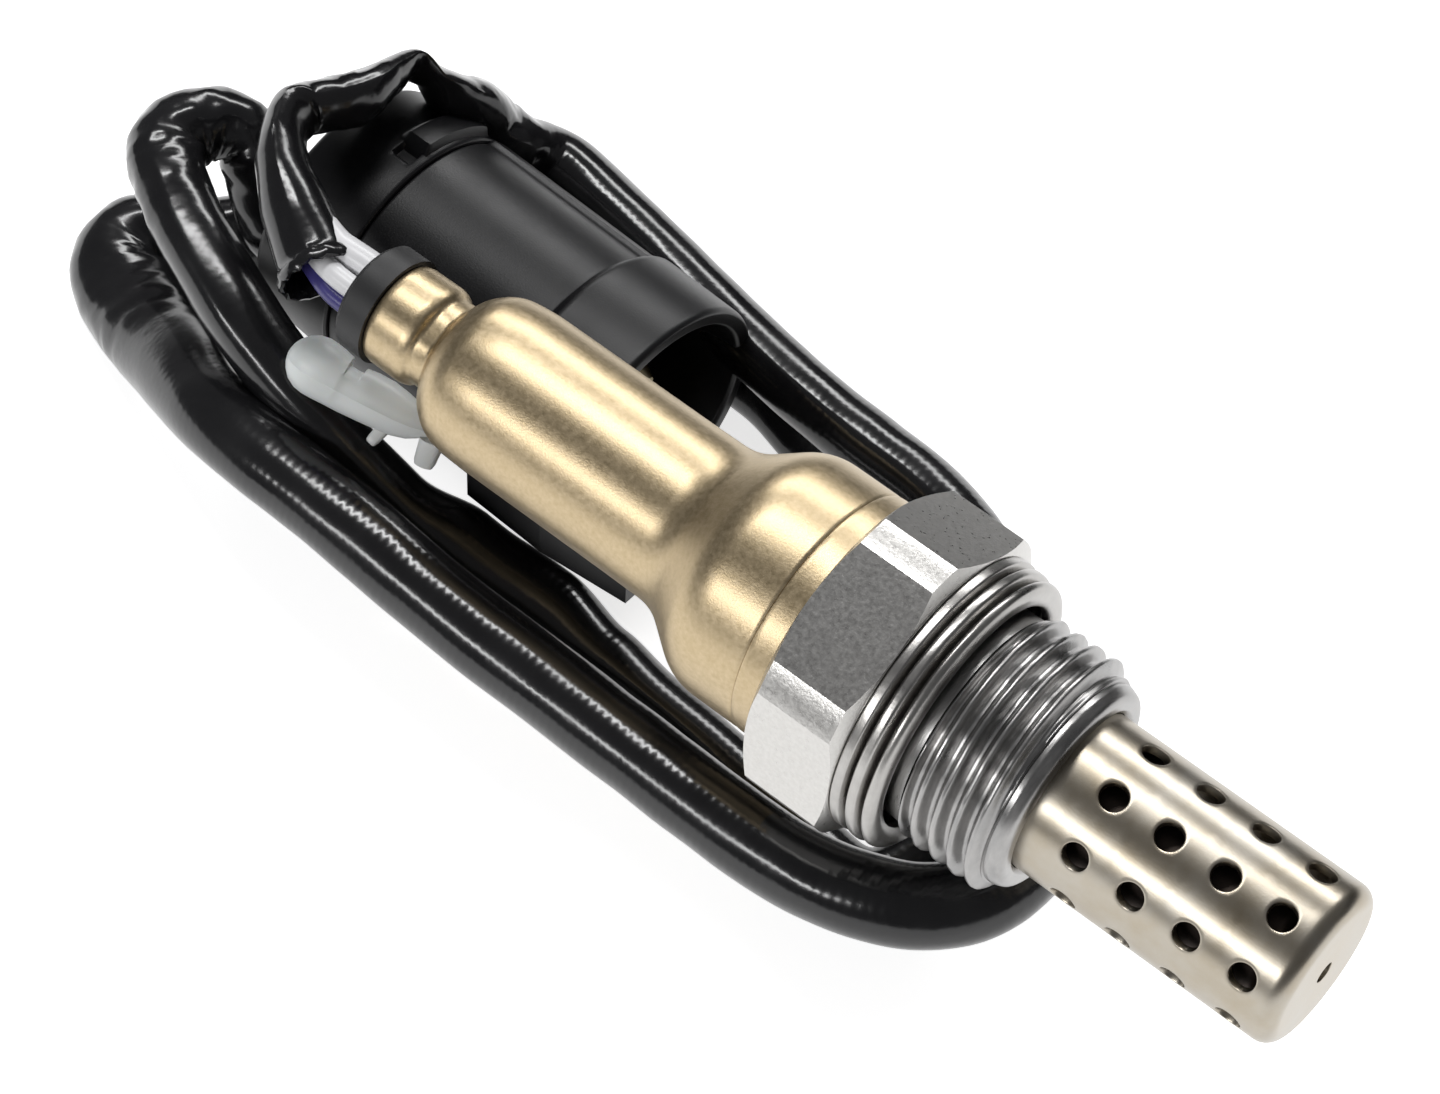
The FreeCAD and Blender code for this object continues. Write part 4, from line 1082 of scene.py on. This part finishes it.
def buildClip():
    head = spot(*clipSizes["head"])
    tail = spot(*clipSizes["tail"])
    way = (tail - head).normalized()
    deep = (foldWay - way * foldWay.dot(way)).normalized()
    side = way.cross(deep)
    count = clipSizes["around"]
    rings = []
    for t, lowHalf, highHalf, depth in clipSizes["rows"]:
        p = head.lerp(tail, t)
        ring = []
        for k in range(count):
            turn = 2 * math.pi * k / count
            half = lowHalf if math.cos(turn) > 0 else highHalf
            grow = 1 + clipSeam(turn) / max(depth, 0.5)
            ring.append(p + (side * (math.cos(turn) * half) + deep * (math.sin(turn) * depth)) * mm * grow)
        rings.append(ring)
    points, faces = ringSkin(rings, closeStart=True, closeEnd=True)
    for part in ("leg", "foot"):
        ends = [spot(*clipSizes[part + end]) for end in ("Head", "Tail")]
        more, skins = clipStub(*ends, clipSizes[part + "Radius"])
        shift = len(points)
        points += more
        faces += [tuple(v + shift for v in face) for face in skins]
    return newPiece("harnessClip", points, faces, clipLook, angle=40.0)


clip = place(buildClip(), "harness_clip")

# Carried-over solids
nodeFinishes = {
    "inner_protection_tube": darkTubeLook,
    "sensing_element": ceramicLook,
    "seat_washer": gasketLook,
    "talc_seal": ceramicLook,
    "ceramic_bush": ceramicLook,
    "spring_ring": gasketLook,
    "heater_rod": ceramicLook,
    "contact_holder": ceramicLook,
    "contact_white_one": gasketLook,
    "contact_white_two": gasketLook,
    "contact_black": gasketLook,
    "contact_violet": gasketLook,
    "wire_grommet": rubberLook,
    "connector_seal": rubberLook,
    "connector_core": mouldLook,
    "terminal_1": pinLook,
    "terminal_2": pinLook,
    "terminal_3": pinLook,
    "terminal_4": pinLook,
    "lock_arm": mouldLook,
}
for name, finish in nodeFinishes.items():
    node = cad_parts[name]
    node.data.materials.clear()
    node.data.materials.append(finish)
    for face in node.data.polygons:
        face.material_index = 0
print("solids dressed")

# Floor, light and camera
floorSizes = {"height": -25.6, "reach": 2500.0, "glow": 0.74}
cardSizes = {"left": -260, "right": 160, "stand": 95, "top": 22, "lift": 0.2}
lampAim = (-0.03, 0.0, -0.01)
lamps = {
    "topSoft": {"stand": (-0.23, 0.16, 0.56), "size": (0.34, 0.06), "power": 1.5},
    "rearSoft": {"stand": (-0.25, 0.50, 0.30), "size": (0.50, 0.10), "power": 1.7},
    "frontSoft": {"stand": (-0.16, -0.56, 0.34), "size": (0.44, 0.07), "power": 1.6},
}
view = {
    "place": (84.74, -123.51, 263.87),
    "azimuth": 39.87,
    "elevation": 58.69,
    "lens": 112.5,
}


def buildFloor():
    # The floor glows for the camera and in reflections, and lights nothing by itself
    reach = floorSizes["reach"]
    corners = ((-1, -1), (1, -1), (1, 1), (-1, 1))
    points = [spot(x * reach, y * reach, floorSizes["height"]) for x, y in corners]
    finish, tree, shader = newFinish("paleFloor")
    link = tree.links.new
    shader.inputs["Base Color"].default_value = (0.92, 0.92, 0.92, 1)
    shader.inputs["Roughness"].default_value = 0.7
    rays = addNode(tree, "ShaderNodeLightPath")
    seen = addNode(tree, "ShaderNodeMath", operation="MAXIMUM")
    through = addNode(tree, "ShaderNodeMath", operation="MAXIMUM")
    strength = addNode(tree, "ShaderNodeMath", {1: floorSizes["glow"]}, operation="MULTIPLY")
    shader.inputs["Emission Color"].default_value = (1, 1, 1, 1)
    link(rays.outputs["Is Camera Ray"], seen.inputs[0])
    link(rays.outputs["Is Glossy Ray"], seen.inputs[1])
    link(seen.outputs[0], through.inputs[0])
    link(rays.outputs["Is Transmission Ray"], through.inputs[1])
    link(through.outputs[0], strength.inputs[0])
    link(strength.outputs[0], shader.inputs["Emission Strength"])
    floor = newPiece("floor", points, [(0, 1, 2, 3)], finish)


buildFloor()


def addLamp(name, stand, size, power):
    data = bpy.data.lights.new(name, "AREA")
    data.shape = "RECTANGLE"
    data.size, data.size_y = size
    data.energy = power
    lamp = bpy.data.objects.new(name, data)
    bpy.context.scene.collection.objects.link(lamp)
    lamp.location = stand
    lamp.rotation_euler = (Vector(lampAim) - Vector(stand)).to_track_quat("-Z", "Y").to_euler()


for name, item in lamps.items():
    addLamp(name, item["stand"], item["size"], item["power"])


def buildCard():
    # A dark card behind the sensor, seen only in reflections
    finish, tree, shader = newFinish("darkCard")
    shader.inputs["Base Color"].default_value = (0.01, 0.01, 0.01, 1)
    shader.inputs["Roughness"].default_value = 1.0
    shader.inputs["Specular IOR Level"].default_value = 0.0
    left, right, top = cardSizes["left"], cardSizes["right"], cardSizes["top"]
    foot = floorSizes["height"] + cardSizes["lift"]
    corners = ((left, foot), (right, foot), (right, top), (left, top))
    points = [spot(x, cardSizes["stand"], z) for x, z in corners]
    card = newPiece("card", points, [(0, 1, 2, 3)], finish)
    card.visible_camera = False
    card.visible_diffuse = False
    card.visible_shadow = False


buildCard()


def buildWorld():
    # White where the camera looks past the floor, and a dim grey light elsewhere
    world = bpy.data.worlds.new("studio")
    bpy.context.scene.world = world
    world.use_nodes = True
    tree = world.node_tree
    rays = addNode(tree, "ShaderNodeLightPath")
    tint = addNode(tree, "ShaderNodeMix", data_type="RGBA")
    tint.inputs["A"].default_value = (0.13, 0.13, 0.133, 1)
    tint.inputs["B"].default_value = (1, 1, 1, 1)
    tree.links.new(rays.outputs["Is Camera Ray"], tint.inputs["Factor"])
    tree.links.new(tint.outputs["Result"], tree.nodes["Background"].inputs["Color"])


buildWorld()

cameraData = bpy.data.cameras.new("camera")
cameraData.lens = view["lens"]
cameraData.sensor_width = 36.0
cameraData.clip_start = 0.01
camera = bpy.data.objects.new("camera", cameraData)
bpy.context.scene.collection.objects.link(camera)
camera.location = spot(*view["place"])
camera.rotation_euler = (math.radians(90 - view["elevation"]), 0, math.radians(view["azimuth"]))
bpy.context.scene.camera = camera
bpy.context.scene.view_settings.view_transform = "Standard"
print("stage set")
